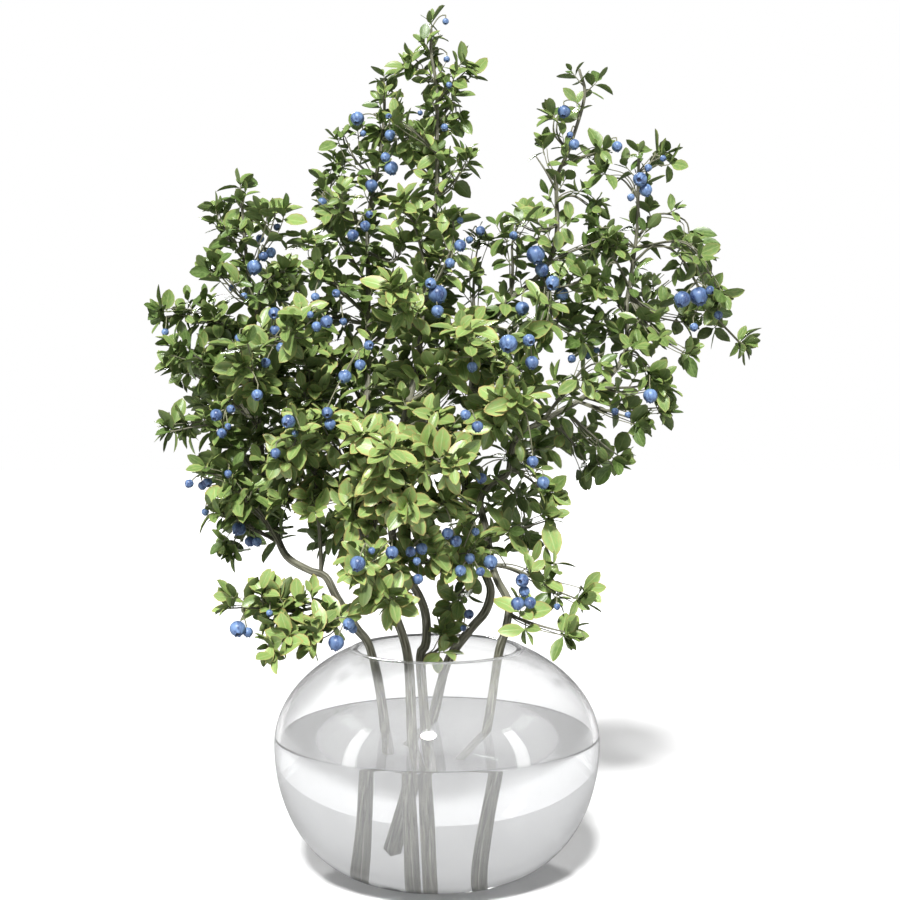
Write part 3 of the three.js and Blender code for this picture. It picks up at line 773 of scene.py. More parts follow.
def leaf_rings(base, heading, normal, length, width, rng):
    """Leaves as flattened tubes.

    The half width follows LEAF_HALF at the places LEAF_ALONG: narrow at the stalk, widest halfway and drawn
    to a point. Across it, a ring runs over the top and back underneath. The blade cups about the midrib by
    the square of the distance across, arches by the square of the distance along, twists a little and waves
    at the edge.
    """
    count = len(base)
    along = LEAF_ALONG[None, :, None]
    around = np.linspace(0, 2 * np.pi, LEAF_SIDES, endpoint=False)[None, None, :]
    across = np.cos(around)
    half = 0.5 * width[:, None, None] * LEAF_HALF[None, :, None]
    cup = rng.uniform(*LEAF_CUPS, (count, 1, 1))
    arch = rng.uniform(*LEAF_ARCHES, (count, 1, 1))
    twist = rng.uniform(-LEAF_TWIST, LEAF_TWIST, (count, 1, 1)) * along
    wave = rng.uniform(-LEAF_WAVE, LEAF_WAVE, (count, 1, 1)) * np.sin(along * 9) * np.abs(across)
    thick = LEAF_THICKNESS * np.sin(around) * (1 - 0.5 * along)
    sideways = across * half
    lift = half * (cup * across**2 + wave) + thick
    reach = length[:, None, None] * along
    lift = lift - length[:, None, None] * arch * along**2
    side = np.cross(heading, normal)
    turned_side = sideways * np.cos(twist) - lift * np.sin(twist)
    turned_lift = sideways * np.sin(twist) + lift * np.cos(twist)
    rings = (
        base[:, None, None]
        + heading[:, None, None] * reach[..., None]
        + side[:, None, None] * turned_side[..., None]
        + normal[:, None, None] * turned_lift[..., None]
    )
    tip = base + heading * length[:, None] - normal * (length * arch[:, 0, 0])[:, None]
    return rings, base, tip


def leaf_places(twigs, plan, rng):
    """Leaves up every twig, turned by the golden angle, further forward and smaller to the tip."""
    per = plan.leaves_per_twig
    share = np.linspace(0.2, 1.0, per) ** 0.8
    spot = share * (TWIG_RINGS - 1)
    low = np.minimum(spot.astype(int), TWIG_RINGS - 2)
    part = (spot - low)[None, :, None]
    base = twigs[:, low] * (1 - part) + twigs[:, low + 1] * part
    ahead = unit(twigs[:, low + 1] - twigs[:, low])
    across, over = side_vectors(ahead, calm_hint(ahead))
    turn = np.arange(per)[None] * GOLDEN_ANGLE + rng.uniform(0, 2 * np.pi, (len(twigs), 1))
    turn = (turn + rng.uniform(-0.3, 0.3, turn.shape))[..., None]
    out = across * np.cos(turn) + over * np.sin(turn)
    tilt = np.radians(np.linspace(*LEAF_TILTS, per))[None, :, None]
    tilt = tilt + rng.uniform(-0.4, 0.4, (len(twigs), per, 1))
    heading = unit(ahead * np.cos(tilt) + out * np.sin(tilt))
    base = base.reshape(-1, 3)
    heading = heading.reshape(-1, 3)
    stray = rng.normal(0, 0.42, base.shape)
    light = UP * 0.6 + np.array(plan.light_lean) + ahead.reshape(-1, 3) * 0.5 + stray
    normal = unit(light - (light * heading).sum(-1, keepdims=True) * heading)
    size = np.tile(np.linspace(1.0, 0.70, per), len(twigs)) * rng.uniform(*LEAF_SIZES, len(base))
    return base, heading, normal, plan.leaf_length * size


def freshness_and_front_light(base, rng):
    """0 for old, small, deep green leaves, 1 for large, yellow-green ones, freshest low and in front. The
    green
    is partly painted light: brighter low and in front, darker as painted shade behind, aside and high.

    A score adds the way forward, takes off the way up and the square of the way aside from the freshest
    place, and has some luck. An S-shaped curve, 1 / (1 + exp(-score)), brings it between 0 and 1.
    """
    aside = (base[:, 0] - FRESHEST_LIT_X) / FRESH_LIT_ASIDE
    forward = -base[:, 1] / FRESH_LIT_DEPTH
    upward = (base[:, 2] - FRESHEST_LIT_Z) / FRESH_LIT_RISE
    score = forward - upward - 1.1 * aside**2 + rng.normal(0, FRESH_LIT_LUCK, len(base))
    return 1 / (1 + np.exp(-1.7 * (score + 0.05)))


def clear_of_berries(base, heading, length):
    """False for a leaf that would run into a berry or hang straight in front of one."""
    keep = np.ones(len(base), bool)
    for other in BRANCHES.values():
        centres, diameters, _ = berry_places(other)
        for share in (0.15, 0.6, 1.0):
            spot = base + heading * (length * share)[:, None]
            gap = spot[:, None] - centres[None]
            beside = np.hypot(gap[..., 0], gap[..., 2]) < diameters / 2 + CLEAR_OF_BERRY
            keep &= ~(beside & (gap[..., 1] < diameters / 2)).any(axis=1)
    return keep


def make_leaves(branch_name, plan):
    """All the leaves of a branch, the fresher ones a little larger and high ones a little smaller."""
    _, _, _, twigs = grow(branch_name, plan)
    rng = np.random.default_rng(200 + branch_seed(branch_name))
    base, heading, normal, length = leaf_places(twigs, plan, rng)
    fresh_and_lit = freshness_and_front_light(base, rng)
    growth = 0.96 + 0.22 * fresh_and_lit
    shrinking = 1 - 0.04 * risen(base, SHRINKING_RISE)
    length = length * growth * shrinking * BRANCHES[branch_name]["leaf_size"]
    keep = clear_of_berries(base, heading, length)
    base, heading, normal, length, fresh_and_lit = (row[keep] for row in (base, heading, normal, length, fresh_and_lit))
    width = length * plan.leaf_breadth * rng.uniform(0.88, 1.12, len(base))
    rings, first, last = leaf_rings(base, heading, normal, length, width, rng)
    shade = rng.integers(0, TILES, len(base))
    age_and_light_rows = TILES - 1
    # Painted light: the colour row, from deep green painted shade to lit fresh green, follows the score.
    age_and_light = np.clip((fresh_and_lit * age_and_light_rows).astype(int), 0, age_and_light_rows - 1)

    def leaf_map(number, item, around, along, side):
        """Sixteen tiles: three rows of upper faces from old, in painted shade, to fresh and painted lit, and
        a top row of undersides in painted shade.
        """
        across = 0.5 + 0.5 * np.cos(2 * np.pi * around)
        upper = side < LEAF_SIDES // 2
        column = shade[item]
        row = np.where(upper, age_and_light[item], age_and_light_rows)
        u = (column + 0.04 + 0.92 * along) / TILES
        v = (row + 0.04 + 0.92 * across) / TILES
        return np.stack([u, v], axis=-1)

    sharp = (0, LEAF_SIDES // 2)
    piece = closed_mesh(branch_name + "_leaves_grown", [(rings, first, last)], leaf_map, sharp)
    nodes = [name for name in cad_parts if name.startswith(branch_name + "_leaves")]
    return finish_piece(piece, leaf_material(plan), "leaf", *nodes)


def berry_rings(centre, diameter, stalk, rng):
    """Berries: a sphere slightly wider than tall, pressed in at its crown, the far end from the stalk.

    At an angle p from the stalk the radius is sin(p) and the height -BERRY_TALL * cos(p). Near the stalk a
    bell curve makes a small dip. Another raises the crown's rim to five points, and an S-curve sinks its
    floor.
    """
    around = np.linspace(0, 2 * np.pi, BERRY_SIDES, endpoint=False)
    star = 0.5 + 0.5 * np.cos(5 * around)
    rim = np.exp(-(((BERRY_ANGLES - CROWN_RIM) / np.radians(5)) ** 2))[:, None]
    floor = (1 / (1 + np.exp(-(BERRY_ANGLES - CROWN_FLOOR) / np.radians(1.6))))[:, None]
    out = np.sin(BERRY_ANGLES)[:, None] * (1 + 0.10 * rim * (0.4 + star))
    down = -np.cos(BERRY_ANGLES)[:, None] * BERRY_TALL + 0.16 * rim * (0.25 + star) - CROWN_DEPTH * floor
    down = down + STALK_DIP * np.exp(-((BERRY_ANGLES / np.radians(20)) ** 2))[:, None]
    axis = unit(centre - stalk + rng.normal(0, 0.25, centre.shape) * diameter[:, None])
    axis = unit(axis + BERRY_DROOP)
    across, over = side_vectors(axis[:, None], calm_hint(axis[:, None]))
    radius = 0.5 * diameter[:, None, None, None]
    ring = across[:, :, None] * np.cos(around)[:, None] + over[:, :, None] * np.sin(around)[:, None]
    shape = ring * out[None, ..., None] + axis[:, None, None] * down[None, ..., None]
    first = centre - axis * 0.5 * diameter[:, None] * (BERRY_TALL - STALK_DIP)
    last = centre + axis * 0.5 * diameter[:, None] * (BERRY_TALL - CROWN_DEPTH)
    return centre[:, None, None] + radius * shape, first, last


def make_berries(branch_name, plan):
    """All the berries of a branch, each with its star-shaped crown."""
    rng = np.random.default_rng(300 + branch_seed(branch_name))
    centre, diameter, heart = berry_places(BRANCHES[branch_name])
    parts = [berry_rings(centre, diameter, heart, rng)]
    kind = rng.integers(0, TILES, len(centre))

    def berry_map(number, item, around, along, side):
        """Four tiles side by side, each a kind of berry, unrolled round and from stalk to crown."""
        return np.stack([(kind[item] + 0.02 + 0.96 * around) / TILES, 0.01 + 0.98 * along], axis=-1)

    piece = closed_mesh(branch_name + "_berries_grown", parts, berry_map)
    nodes = [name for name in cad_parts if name.startswith(branch_name + "_berries")]
    return finish_piece(piece, berry_material(plan), "berry", *nodes)


# ---------------------------------------------------------------- vase and water


def bowl_outline(floor_radius, belly_radius, mouth_radius, floor_z, top_z, plan):
    """(radius, height) up a bowl: a superellipse from flat floor to belly, then an ellipse to the mouth."""
    turn = np.linspace(np.pi / 2, 0, BOWL_ROWS)
    power = 2 / plan.bowl_power
    lower_r = floor_radius + (belly_radius - floor_radius) * np.abs(np.cos(turn)) ** power
    lower_z = plan.belly_height - (plan.belly_height - floor_z) * np.sin(turn) ** power
    share = math.sqrt(1 - (mouth_radius / belly_radius) ** 2)
    tall = (plan.height - plan.belly_height) / share
    above = (top_z - plan.belly_height) * np.sin(np.linspace(0, np.pi / 2, BOWL_ROWS))[1:]
    upper_z = plan.belly_height + above
    upper_r = belly_radius * np.sqrt(np.maximum(1 - ((upper_z - plan.belly_height) / tall) ** 2, 0))
    return np.stack([np.r_[lower_r, upper_r], np.r_[lower_z, upper_z]], axis=1)


def rim_arc(outer, inner, rise):
    """Half an ellipse over the cut rim from the outer wall's last place to the inner's."""
    turn = np.linspace(0, np.pi, RIM_ROWS)[1:-1, None]
    middle = (outer + inner) / 2
    return middle + (outer - middle) * np.cos(turn) + np.array([0, rise]) * np.sin(turn)


def inner_wall(plan, top_z, overlap=0.0):
    """The outline of the bowl's inside up to top_z, moved by an overlap into the glass."""
    return bowl_outline(
        plan.foot_radius - plan.wall + overlap,
        plan.radius - plan.wall + overlap,
        plan.mouth_radius - plan.rim_width + overlap,
        plan.floor_height - overlap,
        top_z,
        plan,
    )


def make_vase(plan):
    """The bowl: outer wall, rounded rim and inner wall as one closed outline turned about the axis."""
    top = plan.height - plan.rim_rise
    outer = bowl_outline(plan.foot_radius, plan.radius, plan.mouth_radius, 0, top, plan)
    inner = inner_wall(plan, top)
    under = np.array([[plan.foot_radius * 0.5, 0.0]])
    floor = np.array([[plan.foot_radius * 0.4, plan.floor_height]])
    outline = np.vstack([under, outer, rim_arc(outer[-1], inner[-1], plan.rim_rise), inner[::-1], floor])
    piece = closed_mesh("vase_glass", [turned(outline, LATHE_SIDES)], plain_map)
    return finish_piece(piece, glass_material(plan), "glass", "vase")


def make_water(plan):
    """The water: it fills the bowl to its level, and creeps up the glass by exp(-distance) at its edge."""
    overlap = 0.2 * MM
    creep = 1.2 * MM
    creep_width = 1.1 * MM
    flat = plan.water_level - 0.4 * MM
    inside = inner_wall(plan, plan.height, overlap)
    under = inside[inside[:, 1] < plan.water_level]
    edge = np.interp(plan.water_level, inside[:, 1], inside[:, 0])
    span = np.array([0.0, 0.6, 1.4, 2.6, 5.0]) * MM
    meniscus = np.stack([edge - span, flat + creep * np.exp(-span / creep_width)], axis=1)
    surface = np.array([[edge * 0.6, flat], [edge * 0.2, flat]])
    floor = np.array([[plan.foot_radius * 0.4, plan.floor_height - overlap]])
    outline = np.vstack([floor, under, meniscus, surface])
    piece = closed_mesh("water_body", [turned(outline, LATHE_SIDES)], plain_map)
    return finish_piece(piece, water_material(plan), "water", "water")


def plain_map(number, item, around, along, side):
    """Round the axis one way and along the outline the other."""
    return np.stack([around, along], axis=-1)


# ---------------------------------------------------------------- materials


def new_material(name):
    """An empty material and its tree of nodes."""
    material = bpy.data.materials.new(name)
    material.use_nodes = True
    material.node_tree.nodes.clear()
    return material, material.node_tree


def feed(tree, socket, value):
    """A link into the socket from another, or a value set in it."""
    if isinstance(value, bpy.types.NodeSocket):
        tree.links.new(value, socket)
    else:
        socket.default_value = value


def opaque(colour):
    """A plain colour with its fourth value, or another node's colour as it is."""
    return colour if isinstance(colour, bpy.types.NodeSocket) else (*colour[:3], 1)


def node(tree, kind, settings=None, **inputs):
    """A node with its settings and inputs. A name like _0 is the input's number, and _ stands for a space."""
    made = tree.nodes.new(kind)
    for key, value in (settings or {}).items():
        setattr(made, key, value)
    for key, value in inputs.items():
        socket = made.inputs[int(key[1:])] if key[0] == "_" else made.inputs[key.replace("_", " ")]
        feed(tree, socket, value)
    return made


def sums(tree, operation, *values):
    """The result of one step of arithmetic."""
    made = tree.nodes.new("ShaderNodeMath")
    made.operation = operation
    for socket, value in zip(made.inputs, values):
        feed(tree, socket, value)
    return made.outputs[0]


def blended(tree, factor, low, high):
    """A colour between two, by a factor."""
    made = tree.nodes.new("ShaderNodeMix")
    made.data_type = "RGBA"
    feed(tree, made.inputs[0], factor)
    feed(tree, made.inputs[6], opaque(low))
    feed(tree, made.inputs[7], opaque(high))
    return made.outputs[2]


def eased(tree, value, low, high):
    """0 below low, 1 above high and a smooth step between."""
    made = tree.nodes.new("ShaderNodeMapRange")
    made.interpolation_type = "SMOOTHSTEP"
    tree.links.new(value, made.inputs["Value"])
    made.inputs["From Min"].default_value = low
    made.inputs["From Max"].default_value = high
    return made.outputs[0]


def mottle_group():
    """Soft cloudy mottling between two colours, with the same cloud as a height."""
    made = bpy.data.node_groups.get("Mottle")
    if made:
        return made
    made = bpy.data.node_groups.new("Mottle", "ShaderNodeTree")
    face = made.interface
    face.new_socket("Vector", in_out="INPUT", socket_type="NodeSocketVector")
    face.new_socket("Scale", in_out="INPUT", socket_type="NodeSocketFloat")
    face.new_socket("Low", in_out="INPUT", socket_type="NodeSocketColor")
    face.new_socket("High", in_out="INPUT", socket_type="NodeSocketColor")
    face.new_socket("Color", in_out="OUTPUT", socket_type="NodeSocketColor")
    face.new_socket("Height", in_out="OUTPUT", socket_type="NodeSocketFloat")
    enter = made.nodes.new("NodeGroupInput")
    leave = made.nodes.new("NodeGroupOutput")
    place, scale = enter.outputs["Vector"], enter.outputs["Scale"]
    cloud = node(made, "ShaderNodeTexNoise", Vector=place, Scale=scale, Detail=4.0)
    share = eased(made, cloud.outputs[0], 0.35, 0.65)
    made.links.new(blended(made, share, enter.outputs["Low"], enter.outputs["High"]), leave.inputs["Color"])
    made.links.new(cloud.outputs[0], leave.inputs["Height"])
    return made


def mottled(tree, vector, scale, low, high):
    """The mottling laid over a pattern's places, as its colour and its height."""
    made = tree.nodes.new("ShaderNodeGroup")
    made.node_tree = mottle_group()
    feed(tree, made.inputs["Vector"], vector)
    feed(tree, made.inputs["Scale"], scale)
    feed(tree, made.inputs["Low"], opaque(low))
    feed(tree, made.inputs["High"], opaque(high))
    return made.outputs["Color"], made.outputs["Height"]


def rolled_vector(tree, around, along, stretch):
    """A place on a cylinder for each place on a tube's map, so that a pattern has no seam up its back."""
    angle = sums(tree, "MULTIPLY", around, 2 * math.pi)
    across = sums(tree, "COSINE", angle)
    over = sums(tree, "SINE", angle)
    up = sums(tree, "MULTIPLY", along, stretch)
    return node(tree, "ShaderNodeCombineXYZ", _0=across, _1=over, _2=up).outputs[0]


def own_map(tree):
    """The piece's own map, as a vector and as its two numbers."""
    place = node(tree, "ShaderNodeUVMap", {"uv_map": "OFBake"})
    apart = node(tree, "ShaderNodeSeparateXYZ", _0=place.outputs[0])
    return place.outputs[0], apart.outputs[0], apart.outputs[1]


def surface_out(tree, shader):
    """The shader goes out as the material's surface."""
    leave = tree.nodes.new("ShaderNodeOutputMaterial")
    tree.links.new(shader, leave.inputs["Surface"])


def bark_material(plan):
    """Bark: grey-olive with pale streaks along the grain, and plain olive on young wood."""
    known = bpy.data.materials.get("blueberry bark")
    if known:
        return known
    material, tree = new_material("blueberry bark")
    _, around, along = own_map(tree)
    grain = rolled_vector(tree, around, along, 26.0)
    base, height = mottled(tree, grain, 2.2, plan.bark_dark, plan.bark_light)
    long_grain = rolled_vector(tree, around, along, 9.0)
    streak = node(tree, "ShaderNodeTexNoise", Vector=long_grain, Scale=5.5, Detail=3.0)
    pale = eased(tree, streak.outputs[0], 0.55, 0.72)
    colour = blended(tree, sums(tree, "MULTIPLY", pale, 0.75), base, plan.bark_streak)
    young = eased(tree, along, 0.71, 0.90)
    colour = blended(tree, young, colour, plan.young_wood)
    bump = node(tree, "ShaderNodeBump", Height=height, Strength=0.5, Distance=0.6 * MM)
    shader = node(
        tree, "ShaderNodeBsdfPrincipled", Base_Color=colour, Roughness=0.8, Normal=bump.outputs[0]
    )
    shader.inputs["Specular IOR Level"].default_value = 0.3
    surface_out(tree, shader.outputs[0])
    return material


def leaf_material(plan):
    """Leaf: a green blade, paler at the midrib and side veins, yellow to the edge, rust at margin and tip.

    Every tile of the map is a leaf of its own shade, fresher and painted more lit from row to row. The top
    row is undersides in a near-black painted shade.
    """
    known = bpy.data.materials.get("blueberry leaf")
    if known:
        return known
    material, tree = new_material("blueberry leaf")
    place, u, v = own_map(tree)
    wide_u, wide_v = sums(tree, "MULTIPLY", u, TILES), sums(tree, "MULTIPLY", v, TILES)
    along, across = sums(tree, "FRACT", wide_u), sums(tree, "FRACT", wide_v)
    tile_u, tile_v = sums(tree, "FLOOR", wide_u), sums(tree, "FLOOR", wide_v)
    tile = node(tree, "ShaderNodeCombineXYZ", _0=tile_u, _1=tile_v)
    luck = node(tree, "ShaderNodeTexWhiteNoise", {"noise_dimensions": "2D"}, Vector=tile.outputs[0])
    under = sums(tree, "GREATER_THAN", v, 1 - 1 / TILES)
    age_and_light = sums(tree, "MULTIPLY", sums(tree, "SUBTRACT", tile_v, sums(tree, "MULTIPLY", under, 2.2)), 0.28)
    shade = sums(tree, "ADD", age_and_light, sums(tree, "MULTIPLY", luck.outputs["Value"], 0.44))
    from_mid = sums(tree, "MULTIPLY", sums(tree, "ABSOLUTE", sums(tree, "SUBTRACT", across, 0.5)), 2.17)
    # Painted light: by its row, a leaf's blade goes from deep green painted shade to lit fresh green.
    blade = blended(tree, shade, plan.leaf_deep_shaded, plan.leaf_fresh_lit)
    blade, cloud = mottled(tree, place, 30.0, blade, blended(tree, 0.30, blade, plan.leaf_fresh_lit))
    edge = sums(tree, "MULTIPLY", eased(tree, from_mid, 0.30, 1.0), sums(tree, "MULTIPLY", shade, 0.65))
    blade = blended(tree, edge, blade, plan.leaf_edge)
    slant = sums(tree, "SUBTRACT", sums(tree, "MULTIPLY", along, 8.0), sums(tree, "MULTIPLY", from_mid, 1.6))
    wave = sums(tree, "ABSOLUTE", sums(tree, "SUBTRACT", sums(tree, "FRACT", slant), 0.5))
    vein = sums(tree, "SUBTRACT", 1.0, eased(tree, wave, 0.0, 0.12))
    rib = sums(tree, "SUBTRACT", 1.0, eased(tree, from_mid, 0.02, 0.11))
    lines = sums(tree, "MAXIMUM", sums(tree, "MULTIPLY", vein, 0.28), rib)
    pale = sums(tree, "MULTIPLY", lines, sums(tree, "ADD", sums(tree, "MULTIPLY", shade, 0.4), 0.15))
    blade = blended(tree, pale, blade, plan.leaf_vein)
    tip = eased(tree, sums(tree, "ADD", along, sums(tree, "MULTIPLY", from_mid, 0.14)), 0.78, 1.08)
    margin = eased(tree, from_mid, 0.80, 1.02)
    patch = eased(tree, cloud, 0.42, 0.66)
    rust = sums(tree, "MAXIMUM", sums(tree, "MAXIMUM", tip, margin), sums(tree, "MULTIPLY", patch, 0.35))
    rust = sums(tree, "MULTIPLY", rust, sums(tree, "MULTIPLY", shade, 0.72))
    blade = blended(tree, rust, blade, plan.leaf_rust)
    # Painted shade: undersides are darkened most of the way to a near-black green.
    colour = blended(tree, sums(tree, "MULTIPLY", under, 0.62), blade, plan.leaf_underside_shade)
    height = sums(tree, "ADD", sums(tree, "MULTIPLY", lines, -0.8), sums(tree, "MULTIPLY", cloud, 0.3))
    bump = node(tree, "ShaderNodeBump", Height=height, Strength=0.4, Distance=0.35 * MM)
    rough = sums(tree, "ADD", 0.36, sums(tree, "MULTIPLY", under, 0.25))
    shader = node(
        tree, "ShaderNodeBsdfPrincipled", Base_Color=colour, Roughness=rough, Normal=bump.outputs[0]
    )
    shader.inputs["Specular IOR Level"].default_value = 0.5
    glow = node(tree, "ShaderNodeBsdfTranslucent", Color=blended(tree, 0.4, colour, plan.leaf_edge))
    mix = node(tree, "ShaderNodeMixShader", _0=0.10, _1=shader.outputs[0], _2=glow.outputs[0])
    surface_out(tree, mix.outputs[0])
    return material


def berry_material(plan):
    """Berry: deep blue skin under a pale waxy bloom, rubbed thin in patches, and a dark crown."""
    known = bpy.data.materials.get("blueberry berry")
    if known:
        return known
    material, tree = new_material("blueberry berry")
    _, u, along = own_map(tree)
    wide = sums(tree, "MULTIPLY", u, TILES)
    around = sums(tree, "FRACT", wide)
    kind = sums(tree, "FLOOR", wide)
    skin = rolled_vector(tree, around, sums(tree, "ADD", along, sums(tree, "MULTIPLY", kind, 3.7)), 2.4)
    bloom, cloud = mottled(tree, skin, 1.7, plan.berry_skin, plan.berry_bloom)
    fine, _ = mottled(tree, skin, 9.0, bloom, blended(tree, 0.5, bloom, plan.berry_bloom))
    rubbed = sums(tree, "MULTIPLY", sums(tree, "FRACT", sums(tree, "MULTIPLY", kind, 0.37)), 0.45)
    colour = blended(tree, rubbed, fine, plan.berry_skin)
    crown = eased(tree, along, 0.74, 0.84)
    colour = blended(tree, sums(tree, "MULTIPLY", crown, 0.85), colour, plan.berry_crown)
    bump = node(tree, "ShaderNodeBump", Height=cloud, Strength=0.12, Distance=0.3 * MM)
    rough = sums(tree, "ADD", sums(tree, "MULTIPLY", cloud, 0.3), 0.24)
    shader = node(
        tree, "ShaderNodeBsdfPrincipled", Base_Color=colour, Roughness=rough, Normal=bump.outputs[0]
    )
    surface_out(tree, shader.outputs[0])
    return material


def glass_material(plan):
    """Clear glass with a faint grey cast."""
    material, tree = new_material("vase glass")
    shader = node(tree, "ShaderNodeBsdfPrincipled", Base_Color=(*plan.glass_colour, 1), Roughness=0.0)
    shader.inputs["Transmission Weight"].default_value = plan.glass_clearness
    shader.inputs["IOR"].default_value = 1.47
    surface_out(tree, shader.outputs[0])
    return material


def water_material(plan):
    """Clear water with a faint grey cast."""
    material, tree = new_material("vase water")
    shader = node(tree, "ShaderNodeBsdfPrincipled", Base_Color=(*plan.water_colour, 1), Roughness=0.0)
    shader.inputs["Transmission Weight"].default_value = 1.0
    shader.inputs["IOR"].default_value = 1.33
    surface_out(tree, shader.outputs[0])
    return material


# ---------------------------------------------------------------- settings


class VaseSettings(bpy.types.PropertyGroup):
    """Sizes and colours of the vase and its water."""

    height: FloatProperty(
        name="Height", description="Foot to rim", unit="LENGTH", default=float(VASE_BOX[1, 2])
    )
    radius: FloatProperty(
        name="Belly radius",
        description="Widest outside radius",
        unit="LENGTH",
        default=float(VASE_BOX[1, 1]),
    )
    belly_height: FloatProperty(
        name="Belly height", description="Height of the widest place", unit="LENGTH", default=0.124
    )
    mouth_radius: FloatProperty(
        name="Mouth radius", description="Outside radius of the rim", unit="LENGTH", default=0.077
    )
    rim_width: FloatProperty(
        name="Rim width", description="Width of the cut rim, level", unit="LENGTH", default=0.007
    )
    rim_rise: FloatProperty(
        name="Rim rounding", description="How far the rim is rounded over", unit="LENGTH", default=0.0012
    )
    foot_radius: FloatProperty(
        name="Foot radius", description="Radius of the flat foot", unit="LENGTH", default=0.050
    )
    wall: FloatProperty(name="Wall", description="Thickness at the belly", unit="LENGTH", default=0.005)
    floor_height: FloatProperty(
        name="Floor", description="Height of the inside floor", unit="LENGTH", default=0.009
    )
    bowl_power: FloatProperty(
        name="Bowl fullness", description="2 is an ellipse, more is fuller", default=2.1
    )
    water_level: FloatProperty(
        name="Water level",
        description="Height of the water",
        unit="LENGTH",
        default=float(WATER_BOX[1, 2]),
    )
    glass_clearness: FloatProperty(
        name="Clearness", description="1 is fully clear glass", subtype="FACTOR", default=0.87
    )
    glass_colour: FloatVectorProperty(
        name="Glass", description="Cast of the glass", subtype="COLOR", default=(0.97, 0.972, 0.975)
    )
    water_colour: FloatVectorProperty(
        name="Water", description="Cast of the water", subtype="COLOR", default=(0.86, 0.865, 0.87)
    )


class PlantSettings(bpy.types.PropertyGroup):
    """Sizes and colours of the wood, leaves and berries."""

    twig_length: FloatProperty(
        name="Twig length", description="Usual length of a leafy twig", unit="LENGTH", default=0.014
    )
    twig_spacing: FloatProperty(
        name="Twig spacing",
        description="Wood between one twig and the next",
        unit="LENGTH",
        default=0.0122,
    )
    tuft_spacing: FloatProperty(
        name="Tuft spacing",
        description="Wood between one tuft of twigs and the next",
        unit="LENGTH",
        default=0.032,
    )
    strands_per_bough: IntProperty(
        name="Strands", description="Thin shoots beside each bough", min=1, max=5, default=2
    )
    strand_spread: FloatProperty(
        name="Strand spread", description="How far the strands fan out", unit="LENGTH", default=0.009
    )
    light_lean: FloatVectorProperty(
        name="Light",
        description="Where the leaves turn to beside up",
        subtype="DIRECTION",
        default=(-0.12, -0.25, 0),
    )
    leaves_per_twig: IntProperty(
        name="Leaves per twig", description="Leaves on each twig", min=2, max=12, default=6
    )
    leaf_length: FloatProperty(
        name="Leaf length", description="Length of a full-grown leaf", unit="LENGTH", default=0.0245
    )
    leaf_breadth: FloatProperty(
        name="Leaf breadth", description="Width as a share of length", subtype="FACTOR", default=0.54
    )
    bark_dark: FloatVectorProperty(
        name="Bark", description="Darker bark", subtype="COLOR", default=(0.085, 0.085, 0.057)
    )
    bark_light: FloatVectorProperty(
        name="Bark, light", description="Lighter bark", subtype="COLOR", default=(0.21, 0.205, 0.15)
    )
    bark_streak: FloatVectorProperty(
        name="Streaks", description="Pale streaks on the bark", subtype="COLOR", default=(0.50, 0.49, 0.41)
    )
    young_wood: FloatVectorProperty(
        name="Young wood", description="Fresh twigs", subtype="COLOR", default=(0.22, 0.22, 0.14)
    )
    # Painted shade: the darkest green, given mostly to leaves behind, aside and high in the crown.
    leaf_deep_shaded: FloatVectorProperty(
        name="Leaf, deep",
        description="Darkest leaf green",
        subtype="COLOR",
        default=(0.058, 0.108, 0.021),
    )
    # Painted light: the brightest green, given mostly to leaves low and in front.
    leaf_fresh_lit: FloatVectorProperty(
        name="Leaf, fresh", description="Brightest leaf green", subtype="COLOR", default=(0.285, 0.45, 0.13)
    )
    leaf_edge: FloatVectorProperty(
        name="Leaf, edge",
        description="Yellow-green near the edge",
        subtype="COLOR",
        default=(0.43, 0.55, 0.20),
    )
    leaf_vein: FloatVectorProperty(
        name="Leaf, veins", description="Midrib and side veins", subtype="COLOR", default=(0.50, 0.62, 0.27)
    )
    leaf_rust: FloatVectorProperty(
        name="Leaf, rust", description="Rusty margins and tips", subtype="COLOR", default=(0.55, 0.26, 0.10)
    )
    # Painted shade: the near-black green laid over every underside.
    leaf_underside_shade: FloatVectorProperty(
        name="Leaf, underside",
        description="Dull underside",
        subtype="COLOR",
        default=(0.050, 0.075, 0.020),
    )
    berry_skin: FloatVectorProperty(
        name="Berry skin",
        description="Skin where the bloom is rubbed off",
        subtype="COLOR",
        default=(0.014, 0.026, 0.10),
    )
    berry_bloom: FloatVectorProperty(
        name="Berry bloom", description="Pale waxy bloom", subtype="COLOR", default=(0.18, 0.29, 0.52)
    )
    berry_crown: FloatVectorProperty(
        name="Berry crown", description="Dark crown", subtype="COLOR", default=(0.012, 0.014, 0.04)
    )


